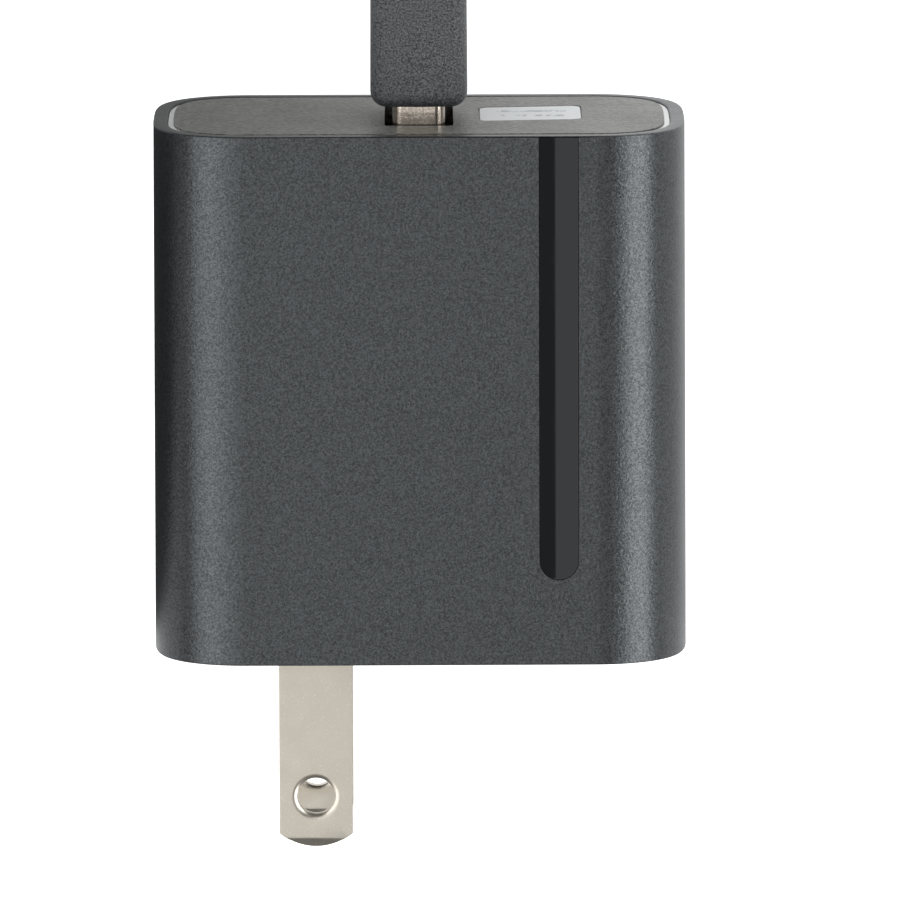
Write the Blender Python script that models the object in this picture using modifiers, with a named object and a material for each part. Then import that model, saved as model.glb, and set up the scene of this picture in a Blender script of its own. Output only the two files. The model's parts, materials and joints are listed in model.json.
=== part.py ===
"""A USB wall charger with folding blades, with its USB cable plugged in.

The charger lies on its broad back face. +X is to its right, +Y points out of its USB port,
and +Z out of its front face. The origin is under the middle of the charger and its blades.
Run with: blender --background --python part.py
"""

import math

import bmesh
import bpy
from mathutils import Vector

MM = 0.001
GAP = 0.3 * MM  # the clearance that touching pieces keep

# Driving dimensions of the housing
BODY_WIDTH = 45.9 * MM
BODY_LENGTH = 45.8 * MM
BODY_DEPTH = 26.2 * MM
BLADE_REACH = 17.0 * MM
CORNER_REACH = 8.0 * MM  # how far a rounded corner runs in from the side
SIDE_POWER = 3.7  # how upright the sides stay: 2 would be a plain ellipse
CORNER_STEPS = 10
WALL = 1.8 * MM
RIM = 1.25 * MM
END_WALL = 1.5 * MM
CAP_SEAT = 2.2 * MM
CAP_THICK = 1.9 * MM
CAP_CHAMFER = 0.2 * MM

PORT_Y = (BODY_LENGTH + BLADE_REACH) / 2  # the face with the USB port
END_Y = PORT_Y - BODY_LENGTH  # the face that the blades come out of
TIP_Y = END_Y - BLADE_REACH
MID_Z = BODY_DEPTH / 2

# Accent strip and label
STRIP_X = 11.95 * MM
STRIP_WIDTH = 3.3 * MM
STRIP_LOW = END_Y + 7.45 * MM
STRIP_TOP = PORT_Y - 0.45 * MM
STRIP_THICK = 0.6 * MM
STRIP_DISH = 0.17 * MM
LABEL_X = 9.6 * MM
LABEL_Z = 12.0 * MM
LABEL_WIDTH = 8.7 * MM
LABEL_DEPTH = 8.2 * MM
LABEL_THICK = 0.12 * MM
LABEL_DROP = 0.02 * MM

# Folding blades
PIVOT_X = -9.1 * MM
PIVOT_Y = END_Y + 3.4 * MM
BLADE_PITCH = 12.7 * MM
BLADE_WIDTH = 6.35 * MM
BLADE_THICK = 1.5 * MM
BLADE_HOLE_RADIUS = 1.6 * MM
BLADE_HOLE_Y = END_Y - 12.65 * MM
BLADE_SHOULDER = 0.2 * MM
TIP_BULGE = 1.2 * MM
TANG_WIDTH = 3.0 * MM
TANG_REACH = 3.6 * MM
BARREL_RADIUS = 3.2 * MM
BARREL_HALF = 9.2 * MM
AXLE_RADIUS = 1.5 * MM
AXLE_HALF = 10.4 * MM
SLOT_WIDTH = 2.3 * MM
SLOT_REACH = 21.2 * MM  # from the pivot to the end of the slot for the folded blade
SLOT_DEPTH = 7.0 * MM
TANG_CLEARANCE = 4.3 * MM
RECESS_LEFT = 2.5 * MM
RECESS_DEPTH = 6.4 * MM
WEB_DROP = 0.1 * MM  # how far the web between the slots stands back from the end face
CRADLE_DEPTH = 9.2 * MM
CRADLE_HALF = 10.8 * MM
CRADLE_RIGHT = 14.2 * MM
CRADLE_LEFT = PIVOT_X - 5.6 * MM
SPRING_THICK = 0.4 * MM

# Circuit board and what stands on it
BOARD_Z = 4.2 * MM
BOARD_THICK = 1.2 * MM
BOARD_LOW = END_Y + 10.0 * MM
BOARD_HIGH = PORT_Y - 2.9 * MM
BOARD_HALF = 18.4 * MM
PARTS_Z = BOARD_Z + BOARD_THICK + GAP

# USB socket and plug
PORT_HALF_X = 2.95 * MM
PORT_HALF_Z = 6.45 * MM
SOCKET_HALF_X = 2.6 * MM
SOCKET_HALF_Z = 6.35 * MM
SOCKET_WALL = 0.45 * MM
SOCKET_LENGTH = 13.2 * MM
SOCKET_Y = PORT_Y - CAP_SEAT
PLUG_HALF_X = 2.25 * MM
PLUG_HALF_Z = 6.0 * MM
PLUG_WALL = 0.3 * MM
PLUG_DEPTH = 10.2 * MM
PLUG_SHOWN = 1.65 * MM
CONTACT_OFFSETS = (-3.5 * MM, -1.0 * MM, 1.0 * MM, 3.5 * MM)
CONTACT_HALF = 0.5 * MM
GROOVE_HALF = 0.8 * MM
GRIP_Y = PORT_Y + PLUG_SHOWN
GRIP_LENGTH = 18.0 * MM
GRIP_HALF_X = 4.17 * MM
GRIP_HALF_Z = 7.8 * MM
GRIP_ROUND = 1.05 * MM
RELIEF_LENGTH = 13.0 * MM
RELIEF_Y = GRIP_Y + GRIP_LENGTH + GAP

# Cord: 0.89 m of a 3.5 mm cable, most of it in a neat coil
CORD_RADIUS = 1.75 * MM
TURN_PITCH = 3.6 * MM
COIL_X = -15.0 * MM
COIL_Y = 108.0 * MM
COIL_OUTER_TURN = 26.0 * MM
COIL_COLUMNS = 4
COIL_LAYERS = 2
TIE_WIDTH = 6.0 * MM
TIE_THICK = 0.6 * MM
CORD_STEP = 4.0 * MM
LEAD_ROUTE = (
    (0.0, 64.7, 13.1),
    (0.0, 68.5, 13.1),
    (0.3, 72.5, 12.6),
    (1.1, 76.5, 11.2),
    (2.3, 80.5, 9.1),
    (3.3, 83.3, 7.6),
)
TAIL_ROUTE = (
    (-41.0, 93.2, 4.0),
    (-41.0, 91.6, 3.7),
    (-41.0, 90.0, 3.5),
)
TAIL_X = -41.0 * MM
TAIL_Z = 3.5 * MM
TAIL_RELIEF_Y = 89.7 * MM
TAIL_RELIEF_LENGTH = 8.0 * MM
TAIL_GRIP_LENGTH = 17.0 * MM
TAIL_GRIP_HALF_X = 5.6 * MM
TAIL_GRIP_HALF_Z = 3.3 * MM
TAIL_SHELL_LENGTH = 6.5 * MM
TAIL_SHELL_HALF_X = 4.12 * MM
TAIL_SHELL_HALF_Z = 1.2 * MM

FINISHES = {
    "graphite_plastic": ((0.075, 0.082, 0.09), 0.42, 0.25),
    "cap_plastic": ((0.085, 0.088, 0.092), 0.35, 0.0),
    "gloss_black": ((0.012, 0.013, 0.015), 0.08, 0.0),
    "label_paper": ((0.62, 0.64, 0.65), 0.6, 0.0),
    "nickel": ((0.62, 0.58, 0.51), 0.3, 1.0),
    "black_nylon": ((0.02, 0.02, 0.022), 0.5, 0.0),
    "spring_brass": ((0.72, 0.55, 0.27), 0.3, 1.0),
    "board_green": ((0.02, 0.12, 0.05), 0.5, 0.0),
    "white_nylon": ((0.8, 0.8, 0.78), 0.5, 0.0),
    "gold_contact": ((0.83, 0.62, 0.25), 0.25, 1.0),
    "ferrite": ((0.05, 0.05, 0.055), 0.6, 0.0),
    "yellow_tape": ((0.75, 0.55, 0.05), 0.45, 0.0),
    "capacitor_sleeve": ((0.03, 0.05, 0.16), 0.35, 0.0),
    "moulded_epoxy": ((0.018, 0.018, 0.02), 0.55, 0.0),
    "blue_epoxy": ((0.03, 0.16, 0.42), 0.4, 0.0),
    "insulating_film": ((0.35, 0.33, 0.28), 0.4, 0.0),
    "cord_jacket": ((0.022, 0.023, 0.026), 0.55, 0.0),
    "tie_strap": ((0.015, 0.015, 0.016), 0.8, 0.0),
}


def clear_scene():
    for thing in list(bpy.data.objects):
        bpy.data.objects.remove(thing)


def new_collection(name):
    made = bpy.data.collections.new(name)
    bpy.context.scene.collection.children.link(made)
    return made


def finish_material(finish, piece_name):
    """A Principled material of its own for one piece, in one of the named finishes."""
    colour, roughness, metallic = FINISHES[finish]
    made = bpy.data.materials.new(piece_name + "_" + finish)
    made.use_nodes = True
    shader = made.node_tree.nodes["Principled BSDF"]
    shader.inputs["Base Color"].default_value = (*colour, 1.0)
    shader.inputs["Roughness"].default_value = roughness
    shader.inputs["Metallic"].default_value = metallic
    made.diffuse_color = (*colour, 1.0)
    return made


def file_piece(piece, finish):
    """Puts a piece in the charger's collection and gives it its material."""
    for holder in list(piece.users_collection):
        holder.objects.unlink(piece)
    PIECES.objects.link(piece)
    piece.data.materials.clear()
    piece.data.materials.append(finish_material(finish, piece.name))
    return piece


def file_cutter(cutter):
    """Puts a cutting shape in its own collection, seen as a wire and never rendered."""
    for holder in list(cutter.users_collection):
        holder.objects.unlink(cutter)
    CUTTERS.objects.link(cutter)
    cutter.hide_render = True
    cutter.display_type = "WIRE"
    return cutter


def cut(piece, cutter):
    change = piece.modifiers.new("cut_" + cutter.name, "BOOLEAN")
    change.operation = "DIFFERENCE"
    change.object = file_cutter(cutter)


def join(piece, added):
    change = piece.modifiers.new("join_" + added.name, "BOOLEAN")
    change.operation = "UNION"
    change.object = file_cutter(added)


def block(name, low, high):
    """A box between two opposite corners, with its scale applied."""
    low, high = Vector(low), Vector(high)
    bpy.ops.mesh.primitive_cube_add(size=1.0, location=(low + high) / 2)
    made = bpy.context.object
    made.name = name
    made.scale = high - low
    bpy.ops.object.transform_apply(location=False, rotation=False, scale=True)
    return made


def rod(name, radius, start, end, sides=24, end_radius=None):
    """A cylinder or a cone frustum between two points."""
    start, end = Vector(start), Vector(end)
    along = end - start
    bpy.ops.mesh.primitive_cone_add(
        vertices=sides,
        radius1=radius,
        radius2=radius if end_radius is None else end_radius,
        depth=along.length,
        location=(start + end) / 2,
        rotation=along.to_track_quat("Z", "Y").to_euler(),
    )
    made = bpy.context.object
    made.name = name
    made.data.shade_smooth()
    made.data.set_sharp_from_angle(angle=math.radians(35))
    return made


def soften(piece, width, segments=2):
    change = piece.modifiers.new("rounded_edges", "BEVEL")
    change.width = width
    change.segments = segments
    change.limit_method = "ANGLE"
    return piece


def solid_from_curve(guide):
    """Turns a curve object into a mesh object with its caps welded on."""
    seen = guide.evaluated_get(bpy.context.evaluated_depsgraph_get())
    mesh = bpy.data.meshes.new_from_object(seen)
    work = bmesh.new()
    work.from_mesh(mesh)
    bmesh.ops.remove_doubles(work, verts=work.verts, dist=0.00001)
    work.to_mesh(mesh)
    work.free()
    made = bpy.data.objects.new(guide.name + "_solid", mesh)
    made.matrix_world = guide.matrix_world
    name = guide.name
    bpy.data.objects.remove(guide)
    made.name = name
    bpy.context.scene.collection.objects.link(made)
    return made


def outline_solid(name, loops, middle, thickness, normal="Y"):
    """A flat outline, with a loop for each hole, thickened evenly about its middle plane.

    With normal Y a loop's points are (x, z) pairs, with Z they are (x, y), and with X (y, z).
    """
    line = bpy.data.curves.new(name, "CURVE")
    line.dimensions = "2D"
    line.fill_mode = "BOTH"
    line.extrude = thickness / 2
    for points in loops:
        spline = line.splines.new("POLY")
        spline.points.add(len(points) - 1)
        for point, (across, up) in zip(spline.points, points, strict=True):
            point.co = (across, up, 0, 1)
        spline.use_cyclic_u = True
    guide = bpy.data.objects.new(name, line)
    bpy.context.scene.collection.objects.link(guide)
    quarter = math.pi / 2
    if normal == "Y":
        guide.rotation_euler = (quarter, 0, 0)
        guide.location = (0, middle, 0)
    elif normal == "X":
        guide.rotation_euler = (quarter, 0, quarter)
        guide.location = (middle, 0, 0)
    else:
        guide.location = (0, 0, middle)
    bpy.context.view_layer.update()
    return solid_from_curve(guide)


def rectangle(low_a, high_a, low_b, high_b):
    return [(low_a, low_b), (high_a, low_b), (high_a, high_b), (low_a, high_b)]


def rounded_rectangle(half_a, half_b, radius, centre=(0.0, 0.0), steps=4):
    """The outline of a rectangle with round corners."""
    points = []
    for quadrant, (side_a, side_b) in enumerate(((1, 1), (-1, 1), (-1, -1), (1, -1))):
        for step in range(steps + 1):
            turn = (quadrant + step / steps) * math.pi / 2
            across = centre[0] + side_a * (half_a - radius) + radius * math.cos(turn)
            up = centre[1] + side_b * (half_b - radius) + radius * math.sin(turn)
            points.append((across, up))
    return points


def body_section(inset):
    """The housing's cross-section, moved in by inset: flat front and back, and corners that
    follow a superellipse from the front's flat to the middle of the side."""
    half_depth = BODY_DEPTH / 2 - inset
    corner = CORNER_REACH - inset
    flat = BODY_WIDTH / 2 - CORNER_REACH
    quarter = []
    for step in range(CORNER_STEPS + 1):
        turn = step / CORNER_STEPS * math.pi / 2
        across = flat + corner * math.cos(turn)
        up = half_depth * math.sin(turn) ** (2 / SIDE_POWER)
        quarter.append((across, up))
    points = [(x, MID_Z + z) for x, z in quarter]
    points += [(-x, MID_Z + z) for x, z in reversed(quarter)]
    points += [(-x, MID_Z - z) for x, z in quarter[1:]]
    points += [(x, MID_Z - z) for x, z in reversed(quarter[1:])]
    return points


def body_slab(name, inset, low, high):
    return outline_solid(name, [body_section(inset)], (low + high) / 2, high - low)


def blade_levels():
    """The rear and the front blade's middle heights, with their names."""
    return (("rear", MID_Z - BLADE_PITCH / 2), ("front", MID_Z + BLADE_PITCH / 2))


# The housing


def make_housing():
    past = 1.0 * MM
    housing = body_slab("housing_sleeve", 0.0, END_Y, PORT_Y)
    cut(housing, body_slab("sleeve_inside", WALL, END_Y + END_WALL, PORT_Y + past))
    cut(housing, body_slab("cap_counterbore", RIM, PORT_Y - CAP_SEAT, PORT_Y + past))
    cut(housing, strip_shape("strip_pocket", GAP, BODY_DEPTH + past, STRIP_THICK + GAP + past))
    low, high = END_Y - past, END_Y + END_WALL + past
    half = BARREL_RADIUS + GAP
    end = BARREL_HALF + GAP
    barrel_high = (PIVOT_X + half, high, MID_Z + end)
    cut(housing, block("barrel_window", (PIVOT_X - half, low, MID_Z - end), barrel_high))
    reach = BLADE_PITCH / 2 + SLOT_WIDTH / 2
    blades_high = (PIVOT_X + SLOT_REACH, high, MID_Z + reach)
    cut(housing, block("blade_window", (PIVOT_X, low, MID_Z - reach), blades_high))
    file_piece(housing, "graphite_plastic")


def strip_shape(name, grow, top, thickness):
    """The accent strip's outline, square at the port end and half round at the other."""
    radius = STRIP_WIDTH / 2 + grow
    centre_y = STRIP_LOW + STRIP_WIDTH / 2
    steps = 10
    points = [(STRIP_X + radius, STRIP_TOP + grow), (STRIP_X - radius, STRIP_TOP + grow)]
    for step in range(steps + 1):
        turn = math.pi * (1 + step / steps)
        across = STRIP_X + radius * math.cos(turn)
        points.append((across, centre_y + radius * math.sin(turn)))
    return outline_solid(name, [points], top - thickness / 2, thickness, "Z")


def make_accent_strip():
    strip = strip_shape("accent_strip", 0.0, BODY_DEPTH, STRIP_THICK)
    half = STRIP_WIDTH / 2
    dish_radius = (half**2 + STRIP_DISH**2) / (2 * STRIP_DISH)
    centre_z = BODY_DEPTH + dish_radius - STRIP_DISH
    past = 2.0 * MM
    start = (STRIP_X, STRIP_LOW - past, centre_z)
    end = (STRIP_X, STRIP_TOP + past, centre_z)
    cut(strip, rod("strip_dish", dish_radius, start, end, sides=64))
    file_piece(strip, "gloss_black")


def make_port_cap():
    past = 1.0 * MM
    cap = body_slab("port_cap", RIM + GAP, PORT_Y - CAP_THICK, PORT_Y)
    trim = cap.modifiers.new("chamfer", "BEVEL")
    trim.width = CAP_CHAMFER
    trim.segments = 1
    trim.limit_method = "ANGLE"
    trim.angle_limit = math.radians(60)
    opening = rounded_rectangle(PORT_HALF_X, PORT_HALF_Z, 0.5 * MM, (0.0, MID_Z))
    hole_thick = CAP_THICK + 2 * past
    cut(cap, outline_solid("port_hole", [opening], PORT_Y - CAP_THICK / 2, hole_thick))
    half_x = LABEL_WIDTH / 2 + GAP
    half_z = LABEL_DEPTH / 2 + GAP
    floor_y = PORT_Y - LABEL_DROP - LABEL_THICK - GAP
    low = (LABEL_X - half_x, floor_y, LABEL_Z - half_z)
    cut(cap, block("label_pocket", low, (LABEL_X + half_x, PORT_Y + past, LABEL_Z + half_z)))
    file_piece(cap, "cap_plastic")


def make_label():
    corners = rounded_rectangle(LABEL_WIDTH / 2, LABEL_DEPTH / 2, 0.6 * MM, (LABEL_X, LABEL_Z))
    middle = PORT_Y - LABEL_DROP - LABEL_THICK / 2
    file_piece(outline_solid("serial_label", [corners], middle, LABEL_THICK), "label_paper")


# The folding blades


def blade_outline():
    """Half-round-cornered tip, straight sides, square shoulders and a narrow tang."""
    half = BLADE_WIDTH / 2
    shoulder = END_Y + BLADE_SHOULDER
    tang_end = PIVOT_Y + TANG_REACH
    points = [
        (PIVOT_X + half, shoulder),
        (PIVOT_X + TANG_WIDTH / 2, shoulder),
        (PIVOT_X + TANG_WIDTH / 2, tang_end),
        (PIVOT_X - TANG_WIDTH / 2, tang_end),
        (PIVOT_X - TANG_WIDTH / 2, shoulder),
        (PIVOT_X - half, shoulder),
    ]
    steps = 8
    for step in range(steps + 1):
        across = -half + BLADE_WIDTH * step / steps
        rise = TIP_BULGE * (across / half) ** 2
        points.append((PIVOT_X + across, TIP_Y + rise))
    return points


def make_blades():
    for side, level in blade_levels():
        blade = outline_solid(side + "_blade", [blade_outline()], level, BLADE_THICK, "Z")
        start = (PIVOT_X, BLADE_HOLE_Y, level - BLADE_THICK)
        end = (PIVOT_X, BLADE_HOLE_Y, level + BLADE_THICK)
        cut(blade, rod(side + "_blade_hole", BLADE_HOLE_RADIUS, start, end, sides=28))
        set_origin(blade)
        file_piece(blade, "nickel")


def set_origin(piece):
    """Moves a blade assembly piece's origin on to the fold axis, leaving its shape in place."""
    axis_point = Vector((PIVOT_X, PIVOT_Y, MID_Z))
    bpy.context.view_layer.update()
    here = piece.matrix_world.copy()
    piece.data.transform(here)
    for corner in piece.data.vertices:
        corner.co -= axis_point
    piece.matrix_world.identity()
    piece.location = axis_point
    piece.rotation_euler = (0, 0, 0)


def make_barrel():
    low = (PIVOT_X, PIVOT_Y, MID_Z - BARREL_HALF)
    high = (PIVOT_X, PIVOT_Y, MID_Z + BARREL_HALF)
    barrel = rod("prong_barrel", BARREL_RADIUS, low, high, sides=32)
    axle_low = (PIVOT_X, PIVOT_Y, MID_Z - AXLE_HALF)
    axle_high = (PIVOT_X, PIVOT_Y, MID_Z + AXLE_HALF)
    join(barrel, rod("axle", AXLE_RADIUS, axle_low, axle_high))
    half = TANG_WIDTH / 2 + GAP
    reach = BARREL_RADIUS + 1.0 * MM
    thick = BLADE_THICK / 2 + GAP
    for side, level in blade_levels():
        tang_low = (PIVOT_X - half, PIVOT_Y - reach, level - thick)
        tang_high = (PIVOT_X + half, PIVOT_Y + reach, level + thick)
        cut(barrel, block("tang_slot_" + side, tang_low, tang_high))
    file_piece(barrel, "black_nylon")


def make_cradle():
    """The bearing block behind the end wall. Its web fills the window between the two slots."""
    low_y = END_Y + END_WALL + GAP
    high_y = END_Y + CRADLE_DEPTH
    past = 1.0 * MM
    mouth_y = END_Y - past
    low = (CRADLE_LEFT, low_y, MID_Z - CRADLE_HALF)
    cradle = block("prong_cradle", low, (CRADLE_RIGHT, high_y, MID_Z + CRADLE_HALF))
    web_half = BLADE_PITCH / 2 - GAP
    web_low = (PIVOT_X, END_Y + WEB_DROP, MID_Z - web_half)
    web_high = (RECESS_LEFT + past, low_y + past, MID_Z + web_half)
    join(cradle, block("cradle_web", web_low, web_high))
    bore = BARREL_RADIUS + GAP
    end = BARREL_HALF + GAP
    bottom = (PIVOT_X, PIVOT_Y, MID_Z - end)
    cut(cradle, rod("barrel_bore", bore, bottom, (PIVOT_X, PIVOT_Y, MID_Z + end), sides=32))
    mouth_low = (PIVOT_X - bore, mouth_y, MID_Z - end)
    cut(cradle, block("barrel_mouth", mouth_low, (PIVOT_X + bore, PIVOT_Y, MID_Z + end)))
    axle_end = CRADLE_HALF + past
    axle_low = (PIVOT_X, PIVOT_Y, MID_Z - axle_end)
    axle_high = (PIVOT_X, PIVOT_Y, MID_Z + axle_end)
    cut(cradle, rod("axle_bore", AXLE_RADIUS + GAP, axle_low, axle_high))
    for side, level in blade_levels():
        thick = SLOT_WIDTH / 2
        slot_high = (PIVOT_X + SLOT_REACH, END_Y + SLOT_DEPTH, level + thick)
        cut(cradle, block("cradle_slot_" + side, (PIVOT_X, mouth_y, level - thick), slot_high))
        start = (PIVOT_X, PIVOT_Y, level - thick)
        sweep_end = (PIVOT_X, PIVOT_Y, level + thick)
        cut(cradle, rod("tang_sweep_" + side, TANG_CLEARANCE, start, sweep_end, sides=32))
        half = TANG_WIDTH / 2 + 0.5 * MM
        window_low = (PIVOT_X - half, PIVOT_Y, level - thick)
        window_high = (PIVOT_X + half, high_y + past, level + thick)
        cut(cradle, block("contact_window_" + side, window_low, window_high))
    recess_half = BLADE_PITCH / 2
    recess_low = (RECESS_LEFT, mouth_y, MID_Z - recess_half)
    recess_high = (PIVOT_X + SLOT_REACH, END_Y + RECESS_DEPTH, MID_Z + recess_half)
    cut(cradle, block("finger_recess", recess_low, recess_high))
    file_piece(cradle, "black_nylon")


def make_blade_contacts():
    """A bent strip behind each blade's tang, with a leg down to the circuit board."""
    start_y = PIVOT_Y + TANG_REACH + GAP
    half = 0.8 * MM
    legs = (("neutral", 11.2 * MM), ("line", 12.4 * MM))
    for (name, reach), (_, level) in zip(legs, blade_levels(), strict=True):
        top = level + half
        end_y = END_Y + reach
        points = [
            (start_y, level - half),
            (start_y + SPRING_THICK, level - half),
            (start_y + SPRING_THICK, top - SPRING_THICK),
            (end_y - SPRING_THICK, top - SPRING_THICK),
            (end_y - SPRING_THICK, PARTS_Z),
            (end_y, PARTS_Z),
            (end_y, top),
            (start_y, top),
        ]
        strip = outline_solid(name + "_contact_spring", [points], PIVOT_X, TANG_WIDTH, "X")
        file_piece(strip, "spring_brass")


def make_detent_spring():
    """The leaf behind the barrel that holds the blades out or folded."""
    low_y = END_Y + CRADLE_DEPTH + GAP
    low = (CRADLE_LEFT + 1.0 * MM, low_y, MID_Z - 2.5 * MM)
    high = (PIVOT_X + 4.0 * MM, low_y + 0.35 * MM, MID_Z + 2.5 * MM)
    file_piece(block("detent_spring", low, high), "spring_brass")


# Inside the housing


def make_board():
    low = (-BOARD_HALF, BOARD_LOW, BOARD_Z)
    board = block("main_board", low, (BOARD_HALF, BOARD_HIGH, BOARD_Z + BOARD_THICK))
    file_piece(board, "board_green")
    film_half = 15.8 * MM
    film_low = (-film_half, BOARD_LOW, WALL + 0.5 * MM)
    film = block("insulation_sheet", film_low, (film_half, BOARD_HIGH, WALL + 0.8 * MM))
    file_piece(film, "insulating_film")


def make_transformer():
    """Two E-shaped ferrite halves around a bobbin, with its winding taped over."""
    middle = Vector((6.0 * MM, 7.6 * MM, 13.0 * MM))
    half_y = 8.0 * MM
    back = 2.6 * MM
    leg = 2.4 * MM
    centre_leg = 2.3 * MM
    half_x = 8.0 * MM
    inner = half_x - back
    core_thick = 5.0 * MM
    for name, side in (("left", -1), ("right", 1)):
        near = side * GAP / 2
        points = [
            (near, -half_y),
            (side * half_x, -half_y),
            (side * half_x, half_y),
            (near, half_y),
            (near, half_y - leg),
            (side * inner, half_y - leg),
            (side * inner, centre_leg),
            (near, centre_leg),
            (near, -centre_leg),
            (side * inner, -centre_leg),
            (side * inner, -half_y + leg),
            (near, -half_y + leg),
        ]
        placed = [(middle.x + x, middle.y + y) for x, y in points]
        core = outline_solid("transformer_core_" + name, [placed], middle.z, core_thick, "Z")
        file_piece(core, "ferrite")
    bore_y = centre_leg + GAP
    bore_z = core_thick / 2 + GAP
    tube_y = bore_y + 0.7 * MM
    tube_z = bore_z + 0.7 * MM
    flange_y = half_y - leg - GAP
    flange_z = 6.5 * MM
    end_x = inner - GAP
    flange = 0.8 * MM
    bobbin = around("bobbin_tube", middle, end_x, tube_y, tube_z)
    bobbin.name = "transformer_bobbin"
    for name, side in (("left", -1), ("right", 1)):
        place = middle + Vector((side * (end_x - flange / 2), 0, 0))
        join(bobbin, around("bobbin_flange_" + name, place, flange / 2, flange_y, flange_z))
    cut(bobbin, around("bobbin_bore", middle, end_x + flange, bore_y, bore_z))
    file_piece(bobbin, "white_nylon")
    winding_x = end_x - flange - GAP
    winding = around("transformer_winding", middle, winding_x, flange_y - GAP, flange_z - 0.4 * MM)
    cut(winding, around("winding_bore", middle, end_x, tube_y + GAP, tube_z + GAP))
    file_piece(winding, "yellow_tape")


def around(name, middle, half_x, half_y, half_z):
    half = Vector((half_x, half_y, half_z))
    return block(name, middle - half, middle + half)


def standing_can(name, x, y, radius, height, finish):
    """A capacitor or choke that stands on the board, with a softened top edge."""
    can = rod(name, radius, (x, y, PARTS_Z), (x, y, PARTS_Z + height))
    file_piece(soften(can, 0.5 * MM), finish)


def board_block(name, x_range, y_range, height):
    """A moulded part on the board, from its ranges across and along in millimetres."""
    low = (x_range[0] * MM, y_range[0] * MM, PARTS_Z)
    piece = block(name, low, (x_range[1] * MM, y_range[1] * MM, PARTS_Z + height * MM))
    file_piece(piece, "moulded_epoxy")


def make_board_parts():
    bulk_radius, bulk_height = 4.0 * MM, 13.0 * MM
    output_height = 9.0 * MM
    sleeve = "capacitor_sleeve"
    for number, along in enumerate((7.0, 15.6), start=1):
        name = f"bulk_capacitor_{number}"
        standing_can(name, -13.6 * MM, along * MM, bulk_radius, bulk_height, sleeve)
    for number, (across, radius) in enumerate(((9.6, 3.15), (16.0, 2.5)), start=1):
        name = f"output_capacitor_{number}"
        standing_can(name, across * MM, 20.4 * MM, radius * MM, output_height, sleeve)
    standing_can("line_choke", -5.8 * MM, 3.6 * MM, 3.0 * MM, 8.0 * MM, "ferrite")
    board_block("bridge_rectifier", (-17.6, -12.4), (-3.4, 2.0), 2.6)
    board_block("controller_chip", (-17.6, -12.6), (21.4, 26.4), 1.5)
    board_block("optocoupler", (-9.6, -5.2), (19.6, 26.0), 3.4)
    board_block("output_rectifier", (7.0, 11.4), (24.4, 28.0), 2.2)
    fuse_radius = 1.2 * MM
    fuse_z = PARTS_Z + fuse_radius + 0.1 * MM
    fuse_start = (-5.4 * MM, -2.4 * MM, fuse_z)
    fuse_end = (2.0 * MM, -2.4 * MM, fuse_z)
    file_piece(rod("fuse", fuse_radius, fuse_start, fuse_end), "white_nylon")
    disc_radius = 3.1 * MM
    disc_z = PARTS_Z + disc_radius + 0.2 * MM
    disc_start = (-5.8 * MM, 10.0 * MM, disc_z)
    disc_end = (-5.8 * MM, 12.6 * MM, disc_z)
    disc = rod("safety_capacitor", disc_radius, disc_start, disc_end)
    file_piece(soften(disc, 0.4 * MM), "blue_epoxy")


# USB socket


def make_socket():
    back = SOCKET_Y - SOCKET_LENGTH
    middle = SOCKET_Y - SOCKET_LENGTH / 2
    outer_x = SOCKET_HALF_X + SOCKET_WALL
    outer_z = SOCKET_HALF_Z + SOCKET_WALL
    loops = [
        rectangle(-outer_x, outer_x, MID_Z - outer_z, MID_Z + outer_z),
        rectangle(-SOCKET_HALF_X, SOCKET_HALF_X, MID_Z - SOCKET_HALF_Z, MID_Z + SOCKET_HALF_Z),
    ]
    file_piece(outline_solid("usb_socket_shell", loops, middle, SOCKET_LENGTH), "nickel")
    base_low = (-SOCKET_HALF_X + GAP, back + GAP, MID_Z - SOCKET_HALF_Z + GAP)
    base_high = (SOCKET_HALF_X - GAP, back + 3.4 * MM, MID_Z + SOCKET_HALF_Z - GAP)
    tongue = block("usb_socket_tongue", base_low, base_high)
    reach_low = (0.35 * MM, back + 2.0 * MM, MID_Z - 5.3 * MM)
    reach_high = (1.55 * MM, SOCKET_Y - 0.8 * MM, MID_Z + 5.3 * MM)
    join(tongue, block("tongue_reach", reach_low, reach_high))
    for number, offset in enumerate(CONTACT_OFFSETS, start=1):
        level = MID_Z + offset
        low_y = back + 4.2 * MM
        high_y = SOCKET_Y - 1.6 * MM
        groove_low = (0.0, low_y - GAP, level - GROOVE_HALF)
        groove_high = (0.95 * MM, high_y + GAP, level + GROOVE_HALF)
        cut(tongue, block(f"tongue_groove_{number}", groove_low, groove_high))
        low = (0.25 * MM, low_y, level - CONTACT_HALF)
        leaf = block(f"usb_socket_contact_{number}", low, (0.65 * MM, high_y, level + CONTACT_HALF))
        file_piece(leaf, "gold_contact")
    file_piece(tongue, "black_nylon")


# The cable


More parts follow.
